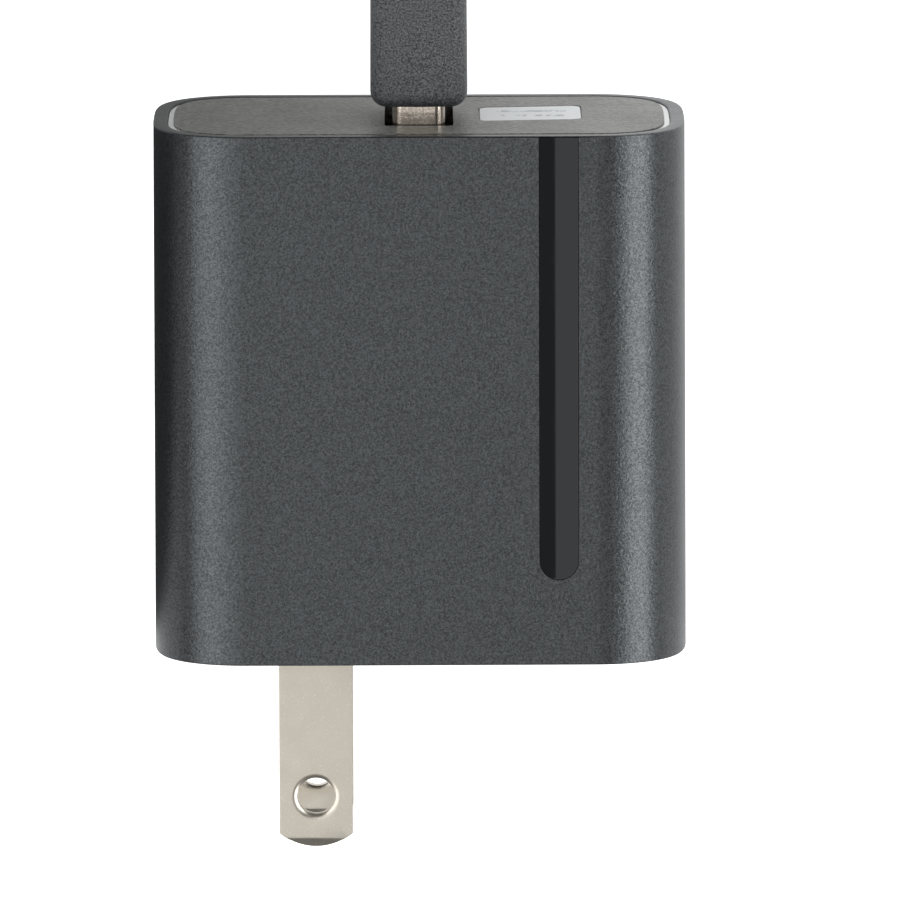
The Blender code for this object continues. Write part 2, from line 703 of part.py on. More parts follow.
def make_plug():
    inner_end = PORT_Y - PLUG_DEPTH
    outer_end = GRIP_Y + 2.6 * MM
    inner_x = PLUG_HALF_X - PLUG_WALL
    inner_z = PLUG_HALF_Z - PLUG_WALL
    loops = [
        rounded_rectangle(PLUG_HALF_X, PLUG_HALF_Z, 0.5 * MM, (0.0, MID_Z)),
        rounded_rectangle(inner_x, inner_z, 0.3 * MM, (0.0, MID_Z)),
    ]
    length = outer_end - inner_end
    shell = outline_solid("plug_shell", loops, inner_end + length / 2, length)
    file_piece(shell, "nickel")
    low = (-inner_x + GAP, inner_end + GAP, MID_Z - inner_z + GAP)
    insulator = block("plug_insulator", low, (-0.15 * MM, outer_end - GAP, MID_Z + inner_z - GAP))
    for number, offset in enumerate(CONTACT_OFFSETS, start=1):
        level = MID_Z + offset
        low_y = inner_end + 1.6 * MM
        high_y = inner_end + 9.0 * MM
        groove_low = (-0.75 * MM, low_y - GAP, level - GROOVE_HALF)
        groove_high = (0.2 * MM, high_y + GAP, level + GROOVE_HALF)
        cut(insulator, block(f"plug_groove_{number}", groove_low, groove_high))
        low = (-0.45 * MM, low_y, level - CONTACT_HALF)
        pad = block(f"plug_contact_{number}", low, (-0.05 * MM, high_y, level + CONTACT_HALF))
        file_piece(pad, "gold_contact")
    file_piece(insulator, "white_nylon")


def make_grip():
    """The moulded grip, with a pocket that holds the shell's end."""
    low = (-GRIP_HALF_X, GRIP_Y, MID_Z - GRIP_HALF_Z)
    grip = block("plug_overmold", low, (GRIP_HALF_X, GRIP_Y + GRIP_LENGTH, MID_Z + GRIP_HALF_Z))
    soften(grip, GRIP_ROUND, segments=3)
    pocket_x = PLUG_HALF_X + GAP
    pocket_z = PLUG_HALF_Z + GAP
    pocket_low = (-pocket_x, GRIP_Y - 1.0 * MM, MID_Z - pocket_z)
    pocket_high = (pocket_x, GRIP_Y + 2.6 * MM + GAP, MID_Z + pocket_z)
    cut(grip, block("shell_pocket", pocket_low, pocket_high))
    file_piece(grip, "cord_jacket")
    start = (0.0, RELIEF_Y, MID_Z)
    end = (0.0, RELIEF_Y + RELIEF_LENGTH, MID_Z)
    relief = rod("strain_relief", 3.3 * MM, start, end, sides=20, end_radius=2.4 * MM)
    file_piece(relief, "cord_jacket")


def smooth_route(points):
    """Points every few millimetres along a smooth curve through the route's own points."""
    route = [Vector(point) * MM for point in points]
    route = [2 * route[0] - route[1], *route, 2 * route[-1] - route[-2]]
    made = [route[1]]
    for before, start, end, after in zip(route, route[1:], route[2:], route[3:], strict=False):
        steps = max(1, round((end - start).length / CORD_STEP))
        for step in range(1, steps + 1):
            t = step / steps
            made.append(
                0.5
                * (
                    2 * start
                    + (end - before) * t
                    + (2 * before - 5 * start + 4 * end - after) * t**2
                    + (3 * start - before - 3 * end + after) * t**3
                )
            )
    return made


def cord_tube(name, points):
    line = bpy.data.curves.new(name, "CURVE")
    line.dimensions = "3D"
    line.bevel_depth = CORD_RADIUS
    line.bevel_resolution = 2
    line.use_fill_caps = True
    spline = line.splines.new("POLY")
    placed = smooth_route(points)
    spline.points.add(len(placed) - 1)
    for point, place in zip(spline.points, placed, strict=True):
        point.co = (*place, 1)
    tube = bpy.data.objects.new(name, line)
    PIECES.objects.link(tube)
    tube.data.materials.append(finish_material("cord_jacket", name))


def coil_limits():
    """The coil's inner and outer radius and its height."""
    outer = COIL_OUTER_TURN + TURN_PITCH / 2
    inner = outer - COIL_COLUMNS * TURN_PITCH
    return inner, outer, COIL_LAYERS * TURN_PITCH


def make_coil():
    """A turned ring of the coil's outer shape, slimmer where the tie goes round it."""
    inner, outer, height = coil_limits()
    mesh = bpy.data.meshes.new("cord_coil")
    work = bmesh.new()
    round_off = 1.2 * MM
    profile = [
        (inner, height - round_off),
        (inner, round_off),
        (inner + round_off, 0.0),
        (outer - round_off, 0.0),
        (outer, round_off),
        (outer, height - round_off),
        (outer - round_off, height),
        (inner + round_off, height),
    ]
    corners = [work.verts.new((radius, 0, level)) for radius, level in profile]
    for one, other in zip(corners, corners[1:] + corners[:1], strict=True):
        work.edges.new((one, other))
    work.to_mesh(mesh)
    work.free()
    coil = bpy.data.objects.new("cord_coil", mesh)
    bpy.context.scene.collection.objects.link(coil)
    coil.location = (COIL_X, COIL_Y, 0)
    turn = coil.modifiers.new("turned", "SCREW")
    turn.steps = 48
    turn.render_steps = 48
    turn.use_merge_vertices = True
    turn.merge_threshold = 0.00001
    turn.use_normal_calculate = True
    cut(coil, tie_frame("tie_groove", 2.0 * MM, TIE_THICK + GAP, TIE_WIDTH + 2 * GAP))
    file_piece(coil, "cord_jacket")


def tie_frame(name, outside, inside, width):
    """A band round the coil's section on its far side: outside and inside are how far its
    faces stand outside and inside the coil's own surface."""
    inner, outer, height = coil_limits()
    near = COIL_Y + inner
    far = COIL_Y + outer
    loops = [
        rectangle(near - outside, far + outside, -outside, height + outside),
        rectangle(near + inside, far - inside, inside, height - inside),
    ]
    return outline_solid(name, loops, COIL_X, width, "X")


def make_tie():
    file_piece(tie_frame("coil_tie", 0.0, TIE_THICK, TIE_WIDTH), "tie_strap")


def make_device_plug():
    """The small plug on the cable's far end, lying beside the coil."""
    relief_end = TAIL_RELIEF_Y - TAIL_RELIEF_LENGTH
    start = (TAIL_X, TAIL_RELIEF_Y, TAIL_Z)
    end = (TAIL_X, relief_end, TAIL_Z)
    relief = rod("device_strain_relief", 2.2 * MM, start, end, sides=20, end_radius=2.9 * MM)
    file_piece(relief, "cord_jacket")
    grip_top = relief_end - GAP
    grip_low_y = grip_top - TAIL_GRIP_LENGTH
    low = (TAIL_X - TAIL_GRIP_HALF_X, grip_low_y, TAIL_Z - TAIL_GRIP_HALF_Z)
    high = (TAIL_X + TAIL_GRIP_HALF_X, grip_top, TAIL_Z + TAIL_GRIP_HALF_Z)
    file_piece(soften(block("device_plug_overmold", low, high), 1.2 * MM, 3), "cord_jacket")
    shell_top = grip_low_y - GAP
    shell_middle = shell_top - TAIL_SHELL_LENGTH / 2
    shell_round = TAIL_SHELL_HALF_Z * 0.98
    wall = 0.3 * MM
    place = (TAIL_X, TAIL_Z)
    outer = rounded_rectangle(TAIL_SHELL_HALF_X, TAIL_SHELL_HALF_Z, shell_round, place)
    inner_x = TAIL_SHELL_HALF_X - wall
    inner_z = TAIL_SHELL_HALF_Z - wall
    inner = rounded_rectangle(inner_x, inner_z, inner_z * 0.98, place)
    shell = outline_solid("device_plug_shell", [outer, inner], shell_middle, TAIL_SHELL_LENGTH)
    file_piece(shell, "nickel")


clear_scene()
PIECES = new_collection("usb_wall_charger")
CUTTERS = new_collection("cutters")

make_housing()
make_port_cap()
make_accent_strip()
make_label()
make_blades()
make_barrel()
make_cradle()
make_blade_contacts()
make_detent_spring()
make_board()
make_transformer()
make_board_parts()
make_socket()
make_plug()
make_grip()
cord_tube("cord_lead", LEAD_ROUTE)
make_coil()
make_tie()
cord_tube("cord_tail", TAIL_ROUTE)
make_device_plug()
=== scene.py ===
# %% [markdown]
# # A USB wall charger with its cable, finished in Blender
#
# The charger is a rounded box of graphite-coloured plastic that lies on its back. Two flat blades
# fold out of one end, and a cable is plugged into the other. The frame of the object already
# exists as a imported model: each part has its real place and size, in metres, with +Z out of the
# charger's front face and +Y out of its port. This lesson loads that frame, then makes the fine
# surfaces around it: smooth shells, edges, grain, gloss and the cable.

# %% Load the frame
import json
import math

import bmesh
import bpy
from mathutils import Matrix, Vector

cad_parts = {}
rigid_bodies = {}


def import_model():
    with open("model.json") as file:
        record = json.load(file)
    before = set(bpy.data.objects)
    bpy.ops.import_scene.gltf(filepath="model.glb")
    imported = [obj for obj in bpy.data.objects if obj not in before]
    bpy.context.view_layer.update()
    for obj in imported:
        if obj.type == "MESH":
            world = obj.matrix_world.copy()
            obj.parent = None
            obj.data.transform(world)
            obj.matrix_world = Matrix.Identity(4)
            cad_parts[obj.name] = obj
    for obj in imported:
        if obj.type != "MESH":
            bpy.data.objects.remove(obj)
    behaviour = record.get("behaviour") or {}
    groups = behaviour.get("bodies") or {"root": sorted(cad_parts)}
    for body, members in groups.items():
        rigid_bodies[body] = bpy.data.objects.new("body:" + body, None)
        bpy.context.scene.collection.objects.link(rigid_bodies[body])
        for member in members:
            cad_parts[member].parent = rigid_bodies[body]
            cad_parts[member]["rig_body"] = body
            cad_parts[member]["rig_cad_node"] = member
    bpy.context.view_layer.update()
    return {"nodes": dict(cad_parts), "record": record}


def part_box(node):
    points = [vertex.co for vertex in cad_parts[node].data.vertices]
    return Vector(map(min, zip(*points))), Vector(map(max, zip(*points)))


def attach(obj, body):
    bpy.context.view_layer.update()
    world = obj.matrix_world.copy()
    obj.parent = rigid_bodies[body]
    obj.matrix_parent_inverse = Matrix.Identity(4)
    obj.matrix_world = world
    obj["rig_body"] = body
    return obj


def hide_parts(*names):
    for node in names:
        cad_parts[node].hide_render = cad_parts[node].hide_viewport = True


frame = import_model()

MM = 0.001

# %% [markdown]
# Every place below comes from a part's own box in the frame. A box is two corners, so its middle
# and its size are worked out once here and used by every later cell.

# %% Places that later cells share
def middle_of(node):
    """The middle of a part's box."""
    low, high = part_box(node)
    return (low + high) / 2


def size_of(node):
    low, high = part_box(node)
    return high - low


def new_object(name, data):
    """An object of the scene that shows some data, such as a light's or a curve's."""
    made = bpy.data.objects.new(name, data)
    bpy.context.scene.collection.objects.link(made)
    return made


body_low, body_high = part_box("housing_sleeve")
MID_Z = middle_of("housing_sleeve").z
END_Y = body_low.y   # the face that the blades come out of
PORT_Y = body_high.y  # the face with the port
FRONT_Z = body_high.z
print("charger:", [round(s / MM, 2) for s in size_of("housing_sleeve")], "mm")

# %% [markdown]
# ## Camera
#
# The camera looks down on the charger's front face, leaning nine degrees towards the port, so
# that a thin band of the port face shows too. A long lens from a metre away keeps the sides
# almost parallel, as in a catalogue picture. The charger sits left of and above the centre of
# the picture. Lens shift does that without turning the camera, which would slant its sides.

# %% Make the camera
CAMERA_TILT = math.radians(9.33)
CAMERA_ROLL = math.radians(-0.21)
CAMERA_AWAY = 1.0
CAMERA_AIM = Vector((0.0, 8.5 * MM, 13.1 * MM))
LENS_A_METRE = 462.2  # the focal length that fills the picture from one metre
SHIFT_ACROSS, SHIFT_UP = 0.0335, -0.0808

camera_data = bpy.data.cameras.new("catalogue_camera")
camera_data.lens = LENS_A_METRE * CAMERA_AWAY
camera_data.shift_x = SHIFT_ACROSS
camera_data.shift_y = SHIFT_UP
camera = new_object("catalogue_camera", camera_data)
away = Vector((0.0, math.sin(CAMERA_TILT), math.cos(CAMERA_TILT)))
camera.location = CAMERA_AIM + CAMERA_AWAY * away
turned_down = Matrix.Rotation(-CAMERA_TILT, 3, "X")
camera.rotation_euler = (turned_down @ Matrix.Rotation(CAMERA_ROLL, 3, "Z")).to_euler()
bpy.context.scene.camera = camera
print("camera at", [round(c, 3) for c in camera.location])

# %% [markdown]
# ## Nodes
#
# The room and every finish are built from shader nodes. One helper feeds a socket, from another
# node or with a plain value. A second adds a node, feeds its inputs and gives one of its
# outputs, so that each later line reads as what the node does.

# %% Adding shader nodes
def feed(tree, socket, value):
    """Links a socket to another node's output, or sets it to a plain value."""
    if isinstance(value, bpy.types.NodeSocket):
        tree.links.new(value, socket)
    else:
        socket.default_value = value


def add_node(tree, kind, output=0, traits=(), **inputs):
    """Adds a node, sets its traits, feeds its inputs, and gives one of its outputs."""
    made = tree.nodes.new("ShaderNode" + kind)
    for label, value in traits:
        setattr(made, label, value)
    for label, value in inputs.items():
        feed(tree, made.inputs[label.replace("_", " ")], value)
    return made.outputs[output]


def math_node(tree, operation, first, second=0.0, clamp=False):
    """A Math node fed by sockets or plain numbers."""
    result = add_node(tree, "Math", traits=(("operation", operation), ("use_clamp", clamp)))
    for socket, value in zip(result.node.inputs, (first, second)):
        feed(tree, socket, value)
    return result


def ramp(tree, value, start, end, first=0.0, last=1.0):
    """A number that runs from first to last while a value runs from start to end."""
    return add_node(
        tree, "MapRange", "Result",
        Value=value, From_Min=start, From_Max=end, To_Min=first, To_Max=last,
    )


def blend(tree, share, one, other):
    """Runs from one number to another as a share runs from 0 to 1."""
    return add_node(tree, "Mix", "Result", Factor=share, A=one, B=other)


def new_finish(name, roughness=0.5, metallic=0.0, **constants):
    """A material with its shader's constant sockets set. Gives the material and its tree."""
    made = bpy.data.materials.new(name)
    made.use_nodes = True
    shader = made.node_tree.nodes["Principled BSDF"]
    shader.inputs["Roughness"].default_value = roughness
    shader.inputs["Metallic"].default_value = metallic
    for label, value in constants.items():
        shader.inputs[label.replace("_", " ")].default_value = value
    return made, made.node_tree


# %% [markdown]
# ## Studio
#
# The charger is dark and satin, so what shows on it is mostly the reflection of the lights. Three
# big soft panels do the work: one overhead and a little to the left for the front face and the
# blades, one low on the right that draws a bright band down the rounded side, and a weaker one
# on the left. A panel's power is worked out from how bright it should look and from its size,
# so a panel can be moved or resized without retuning it.

# %% Panels of light
PANELS = {
    # name: direction, distance, width, length, brightness
    "overhead_panel": ((-0.27, 0.0, 1.0), 1.3, 0.98, 1.6, 0.84),
    "right_panel": ((1.0, 0.0, 0.70), 0.9, 0.56, 1.3, 3.0),
    "left_panel": ((-1.0, 0.0, 0.90), 0.9, 0.58, 1.3, 1.6),
}
for name, (direction, distance, width, length, brightness) in PANELS.items():
    data = bpy.data.lights.new(name, "AREA")
    data.shape = "RECTANGLE"
    data.size = length
    data.size_y = width
    data.energy = brightness * math.pi * width * length
    panel = new_object(name, data)
    towards = Vector(direction).normalized()
    panel.location = CAMERA_AIM + distance * towards
    panel.rotation_euler = towards.to_track_quat("Z", "Y").to_euler()
    panel.visible_camera = False
print("panels:", list(PANELS))

# %% [markdown]
# The room is white, and the floor is a plain pale sheet. A dark satin object on a white sheet
# would mirror the sheet along its lower sides and look washed out, which is why studios stand
# black cards beside it. Light Path nodes do the same job here: mirror-like rays see a dimmer
# room than the camera does.

# %% Room
ROOM_SEEN = 1.0       # what the camera sees
ROOM_MIRRORED = 0.14  # what shiny surfaces see
ROOM_FILL = 0.75      # what lights matt surfaces
WHITE = (1.0, 1.0, 1.0, 1.0)

room = bpy.data.worlds.new("white_room")
bpy.context.scene.world = room
room.use_nodes = True
tree = room.node_tree
backdrop = tree.nodes["Background"].inputs
rays = tree.nodes.new("ShaderNodeLightPath").outputs
off_camera = blend(tree, rays["Is Glossy Ray"], ROOM_FILL, ROOM_MIRRORED)
feed(tree, backdrop["Strength"], blend(tree, rays["Is Camera Ray"], off_camera, ROOM_SEEN))
feed(tree, backdrop["Color"], WHITE)
bpy.context.scene.view_settings.view_transform = "Standard"
print("world:", room.name)

# %% [markdown]
# Painted reflections: mirror-like rays do not see the lit sheet but a glow painted on it, in three
# stretches that do the job of a studio's cards: one beside the charger that runs from black on the
# left to grey on the right, one past the port and one past the blades. Each glow is a stretch of
# the sheet's own brightness, worked out from the place on the sheet.

# %% Floor and its painted reflections
FLOOR_SIDE = 12.0
FLOOR_DROP = 0.05 * MM  # keeps the floor from touching the charger's back
SHEET_GREY = 0.88
SHEET_GLOW = 0.75
PAST_BLADES_GLOW = 0.95

bpy.ops.object.select_all(action="DESELECT")
bpy.ops.mesh.primitive_plane_add(size=FLOOR_SIDE, location=(0.0, 0.0, -FLOOR_DROP))
floor = bpy.context.object
floor.name = "pale_floor"
sheet, tree = new_finish(
    "pale_sheet", roughness=0.9, Base_Color=(SHEET_GREY, SHEET_GREY, SHEET_GREY, 1.0),
    Emission_Color=WHITE, Emission_Strength=SHEET_GLOW,
)
across = add_node(tree, "SeparateXYZ", "X", Vector=add_node(tree, "TexCoord", "Object"))
along = across.node.outputs["Y"]
# painted reflections: a glow that only mirror-like rays see on the sheet, black left of the charger, grey on its
# right, brighter past the port and past the blades
beside = ramp(tree, across, -0.020, 0.020, 0.03, 0.75)
past_port = ramp(tree, across, -0.022, 0.020, 0.30, 0.98)
glow = blend(tree, ramp(tree, along, 0.0290, 0.0312), beside, past_port)
glow = blend(tree, ramp(tree, along, -0.0170, -0.0150, 1.0, 0.0), glow, PAST_BLADES_GLOW)
seen_by = tree.nodes.new("ShaderNodeMixShader")
sources = (
    add_node(tree, "LightPath", "Is Glossy Ray"),
    tree.nodes["Principled BSDF"].outputs["BSDF"],
    add_node(tree, "Emission", "Emission", Strength=glow),
)
for socket, source in zip(seen_by.inputs, sources):
    feed(tree, socket, source)
feed(tree, tree.nodes["Material Output"].inputs["Surface"], seen_by.outputs["Shader"])
floor.data.materials.append(sheet)
print("floor:", floor.name, "with", sheet.name)

# %% [markdown]
# ## Finishes
#
# Every surface of the charger has some texture up close: metallic flakes in the paint, moulded
# grain on the plastics, specks in the plating. Each such effect is built once as a node group
# with its own sliders, then placed in each finish with its own values. The groups give out
# masks and heights only, and each finish keeps its own shader. Patterns use Object coordinates,
# so their sizes are real: a feature of a tenth of a millimetre is a scale of ten thousand.

# %% Building a node group
def new_group(name, inputs, outputs):
    """An empty node group with number sliders, a Vector input, and number outputs.

    Gives its tree, the sockets that its own nodes read, and the sockets that they feed.
    """
    tree = bpy.data.node_groups.new(name, "ShaderNodeTree")
    tree.interface.new_socket("Vector", in_out="INPUT", socket_type="NodeSocketVector")
    for label, value in inputs.items():
        made = tree.interface.new_socket(label, in_out="INPUT", socket_type="NodeSocketFloat")
        made.default_value = value
    for label in outputs:
        tree.interface.new_socket(label, in_out="OUTPUT", socket_type="NodeSocketFloat")
    print("group:", name)
    return tree, tree.nodes.new("NodeGroupInput").outputs, tree.nodes.new("NodeGroupOutput").inputs


def noise_node(tree, vector, scale, detail=2.0, roughness=0.5):
    return add_node(
        tree, "TexNoise", "Fac", Vector=vector, Scale=scale, Detail=detail, Roughness=roughness
    )


# %% [markdown]
# Flake paint: tiny plates of aluminium lie in the lacquer at slightly different tilts. A Voronoi
# pattern gives each plate its own random brightness, and soft noise clumps them a little, which
# is the mottled look that such paint has under a soft light.

# %% Group: flakes in paint
flakes, entry, leave = new_group("flake_paint", {"Flake size": 0.12, "Clumping": 0.5}, ("Sparkle", "Height"))
per_metre = math_node(flakes, "DIVIDE", 1 / MM, entry["Flake size"])
plates = add_node(flakes, "TexVoronoi", "Color", Vector=entry["Vector"], Scale=per_metre)
plate_tone = add_node(flakes, "SeparateColor", "Red", Color=plates)
clump_scale = math_node(flakes, "MULTIPLY", per_metre, 0.42)
clumps = noise_node(flakes, entry["Vector"], clump_scale, detail=3.0, roughness=0.6)
clumps = ramp(flakes, clumps, 0.33, 0.67)
clump_part = math_node(flakes, "MULTIPLY", clumps, entry["Clumping"])
plate_share = math_node(flakes, "SUBTRACT", 1.0, entry["Clumping"])
plate_part = math_node(flakes, "MULTIPLY", plate_tone, plate_share)
feed(flakes, leave["Sparkle"], math_node(flakes, "ADD", clump_part, plate_part))
height = math_node(flakes, "MULTIPLY", plate_tone.node.outputs["Green"], 0.5)
feed(flakes, leave["Height"], math_node(flakes, "ADD", height, clumps))

# %% [markdown]
# Moulded grain: the steel mould is etched, so the plastic has fine pits of one rough size. Two
# sizes of noise added together avoid the regular look of a single one.

# %% Group: moulded grain
grain, entry, leave = new_group("moulded_grain", {"Grain size": 0.2, "Sharpness": 0.5}, ("Grain", "Height"))
per_metre = math_node(grain, "DIVIDE", 1 / MM, entry["Grain size"])
coarse = noise_node(grain, entry["Vector"], per_metre)
fine = noise_node(grain, entry["Vector"], math_node(grain, "MULTIPLY", per_metre, 2.7), detail=1.0)
fine_part = math_node(grain, "MULTIPLY", fine, entry["Sharpness"])
feed(grain, leave["Height"], math_node(grain, "ADD", coarse, fine_part))
feed(grain, leave["Grain"], ramp(grain, coarse, 0.35, 0.65))

# %% [markdown]
# Handling: skin oil and rubbing leave broad, faint changes of gloss. One low-frequency noise,
# used for roughness only, keeps a large plain face from looking too perfect.

# %% Group: handling marks
handling, entry, leave = new_group("handling_marks", {"Patch size": 9.0, "Least": 0.4, "Most": 0.5}, ("Roughness",))
per_metre = math_node(handling, "DIVIDE", 1 / MM, entry["Patch size"])
patches = noise_node(handling, entry["Vector"], per_metre, detail=4.0, roughness=0.6)
patches = ramp(handling, patches, 0.3, 0.7)
span = math_node(handling, "SUBTRACT", entry["Most"], entry["Least"])
above = math_node(handling, "MULTIPLY", patches, span)
feed(handling, leave["Roughness"], math_node(handling, "ADD", above, entry["Least"]))

# %% [markdown]
# Plating specks: bright nickel still shows tiny pits and brighter points where it was stamped
# and tumbled. The group gives a mask of sparse points over a fine even grain.

# %% Group: specks in plating
specks, entry, leave = new_group("plating_specks", {"Speck size": 0.1, "Sparseness": 0.62}, ("Specks", "Height"))
per_metre = math_node(specks, "DIVIDE", 1 / MM, entry["Speck size"])
points = noise_node(specks, entry["Vector"], per_metre, detail=1.0)
over = math_node(specks, "SUBTRACT", points, entry["Sparseness"])
feed(specks, leave["Specks"], math_node(specks, "MULTIPLY", over, 9.0, clamp=True))
soft_scale = math_node(specks, "MULTIPLY", per_metre, 0.45)
feed(specks, leave["Height"], noise_node(specks, entry["Vector"], soft_scale, detail=3.0))


# %% The parts of a finish
def place_group(tree, group, **values):
    """Places a node group in a finish, on Object coordinates."""
    node = tree.nodes.new("ShaderNodeGroup")
    node.node_tree = group
    feed(tree, node.inputs["Vector"], add_node(tree, "TexCoord", "Object"))
    for label, value in values.items():
        node.inputs[label.replace("_", " ")].default_value = value
    return node.outputs


def tint(tree, mask, dark, light):
    """Base colour that runs from dark to light with a mask."""
    colour = add_node(
        tree, "Mix", "Result", traits=(("data_type", "RGBA"),),
        Factor=mask, A=(*dark, 1.0), B=(*light, 1.0),
    )
    feed(tree, tree.nodes["Principled BSDF"].inputs["Base Color"], colour)


def emboss(tree, height, depth):
    """Turns a height from 0 to 1 into a bump of a real depth in metres."""
    normal = add_node(tree, "Bump", "Normal", Distance=depth, Strength=1.0, Height=height)
    feed(tree, tree.nodes["Principled BSDF"].inputs["Normal"], normal)


def shine(tree, least, most, patch=9.0):
    """Roughness that wanders between two values over patches of a size in millimetres."""
    marks = place_group(tree, handling, Patch_size=patch, Least=least, Most=most)
    feed(tree, tree.nodes["Principled BSDF"].inputs["Roughness"], marks["Roughness"])
    return marks["Roughness"]


def grained(name, dark, light, least, most, size, metallic=0.0, depth=0.005, patch=2.5, sharpness=0.5):
    """A finish with moulded grain, whose size, depth and gloss patches are in millimetres."""
    made, tree = new_finish(name, metallic=metallic)
    pits = place_group(tree, grain, Grain_size=size, Sharpness=sharpness)
    tint(tree, pits["Grain"], dark, light)
    emboss(tree, pits["Height"], depth * MM)
    shine(tree, least, most, patch)
    return made


# %% [markdown]
# Graphite shell: dark grey lacquer with fine flakes. The flakes lighten the colour and tilt the
# normal slightly, and that is what makes the side's bright band look grainy. The gloss strip has
# almost no texture: only a faint haze from wiping.

# %% Finishes: graphite shell and gloss strip
graphite, tree = new_finish("graphite_shell", metallic=0.96)
flake = place_group(tree, flakes, Flake_size=0.11, Clumping=0.22)
tint(tree, flake["Sparkle"], (0.050, 0.0535, 0.0565), (0.137, 0.146, 0.153))
emboss(tree, flake["Height"], 0.012 * MM)
shine(tree, 0.30, 0.35)

gloss, tree = new_finish("gloss_black")
tint(tree, shine(tree, 0.05, 0.12, patch=2.5), (0.004, 0.005, 0.006), (0.01, 0.01, 0.011))
print("finishes:", graphite.name, gloss.name)

# %% [markdown]
# The moulded plastics share one recipe and differ in their numbers. The cap's grain is the
# coarsest. The cable's jacket and grips are soft black plastic from an etched mould, and their
# sharp grain catches the light as many small sparkles. The fold's nylon is fine and plain.

# %% Finishes: moulded plastics
cap_grey = grained(
    "port_cap_grain", (0.04, 0.042, 0.036), (0.12, 0.122, 0.11), 0.3, 0.38, 0.42, depth=0.09, patch=6.0
)
jacket = grained(
    "cord_jacket", (0.006, 0.0065, 0.0075), (0.094, 0.1, 0.107), 0.26, 0.36, 0.15,
    depth=0.07, patch=5.0, sharpness=0.9,
)
nylon = grained(
    "black_nylon", (0.012, 0.012, 0.013), (0.026, 0.026, 0.028), 0.42, 0.55, 0.25, depth=0.006, patch=4.0
)
print("finishes:", cap_grey.name, jacket.name, nylon.name)

# %% [markdown]
# Two kinds of nickel, each with specks: satin on the blades, warmer and shinier on the folded
# steel of the plug. The pale ledge round the cap is bare satin metal with the same specks.

# %% Finishes: nickel and the pale ledge
NICKELS = {
    # name: dark tone, light tone, speck size, sparseness, depth, least and most roughness, patch
    "blade_nickel": ((0.715, 0.665, 0.575), (0.83, 0.79, 0.72), 0.12, 0.62, 0.003, 0.27, 0.36, 2.0),
    "plug_nickel": ((0.51, 0.445, 0.38), (0.74, 0.66, 0.58), 0.16, 0.5, 0.009, 0.14, 0.22, 1.5),
}
nickels = {}
for name, (dark, light, size, sparseness, depth, least, most, patch) in NICKELS.items():
    nickels[name], tree = new_finish(name, metallic=1.0)
    plating = place_group(tree, specks, Speck_size=size, Sparseness=sparseness)
    tint(tree, plating["Specks"], dark, light)
    emboss(tree, plating["Height"], depth * MM)
    shine(tree, least, most, patch)

pale_ledge, tree = new_finish("pale_ledge", metallic=0.6)
tint(tree, place_group(tree, specks)["Specks"], (0.72, 0.73, 0.73), (0.85, 0.85, 0.85))
shine(tree, 0.3, 0.4, patch=3.0)
print("finishes:", *nickels, pale_ledge.name)

# %% [markdown]
# Label: a light grey film with two rows of tiny grey dashes, which stand for the print and say
# nothing. The dashes come from two numbers only: how far along the label a point lies, cut into
# steps by a noise, and which row it lies in.

# %% Finish: label film
ROW_OFFSET, ROW_HALF, PRINT_HALF = 1.35 * MM, 0.5 * MM, 3.1 * MM
DASHES_A_METRE = 1.6 / MM
PRINT_STRENGTH = 0.6
label_middle = middle_of("serial_label")

label_film, tree = new_finish("label_film", roughness=0.45)
place = add_node(tree, "TexCoord", "Object")
x = add_node(tree, "SeparateXYZ", "X", Vector=place)
along = math_node(tree, "ABSOLUTE", math_node(tree, "SUBTRACT", x, label_middle.x))
in_print = math_node(tree, "LESS_THAN", along, PRINT_HALF)
from_middle = math_node(tree, "SUBTRACT", x.node.outputs["Z"], label_middle.z)
from_middle = math_node(tree, "ABSOLUTE", from_middle)
from_row = math_node(tree, "ABSOLUTE", math_node(tree, "SUBTRACT", from_middle, ROW_OFFSET))
in_row = math_node(tree, "LESS_THAN", from_row, ROW_HALF)
stretched = add_node(tree, "Mapping", "Vector", Vector=place, Scale=(1.0, 0.0, 0.2))
dashes = ramp(tree, noise_node(tree, stretched, DASHES_A_METRE, detail=3.0), 0.46, 0.56)
printed = math_node(tree, "MULTIPLY", math_node(tree, "MULTIPLY", dashes, in_print), in_row)
printed = math_node(tree, "MULTIPLY", printed, PRINT_STRENGTH)
tint(tree, printed, (0.55, 0.57, 0.58), (0.15, 0.16, 0.17))
emboss(tree, place_group(tree, grain, Grain_size=0.15)["Height"], 0.002 * MM)
print("finish:", label_film.name)

# %% [markdown]
# The strap is woven: threads cross over and under, which two wave patterns in different
# directions make when one is multiplied by the other.

# %% Finish: woven strap
THREAD = 0.42 * MM
THREAD_SCALE = 0.314  # a wave pattern of scale 1 repeats every 0.314 metres

woven, tree = new_finish("tie_strap", roughness=0.8)
place = add_node(tree, "TexCoord", "Object")
threads = [
    add_node(
        tree, "TexWave", "Fac", traits=(("bands_direction", direction),),
        Vector=place, Scale=THREAD_SCALE / THREAD, Distortion=0.6,
    )
    for direction in ("X", "DIAGONAL")
]
over_under = math_node(tree, "MULTIPLY", *threads)
tint(tree, over_under, (0.008, 0.008, 0.009), (0.05, 0.05, 0.053))
emboss(tree, over_under, 0.05 * MM)
shine(tree, 0.7, 0.9, patch=3.0)
print("finish:", woven.name)

# %% [markdown]
# The parts inside show only with the charger open, so each has one grained finish with its own
# colour and gloss. A small table gives their values.

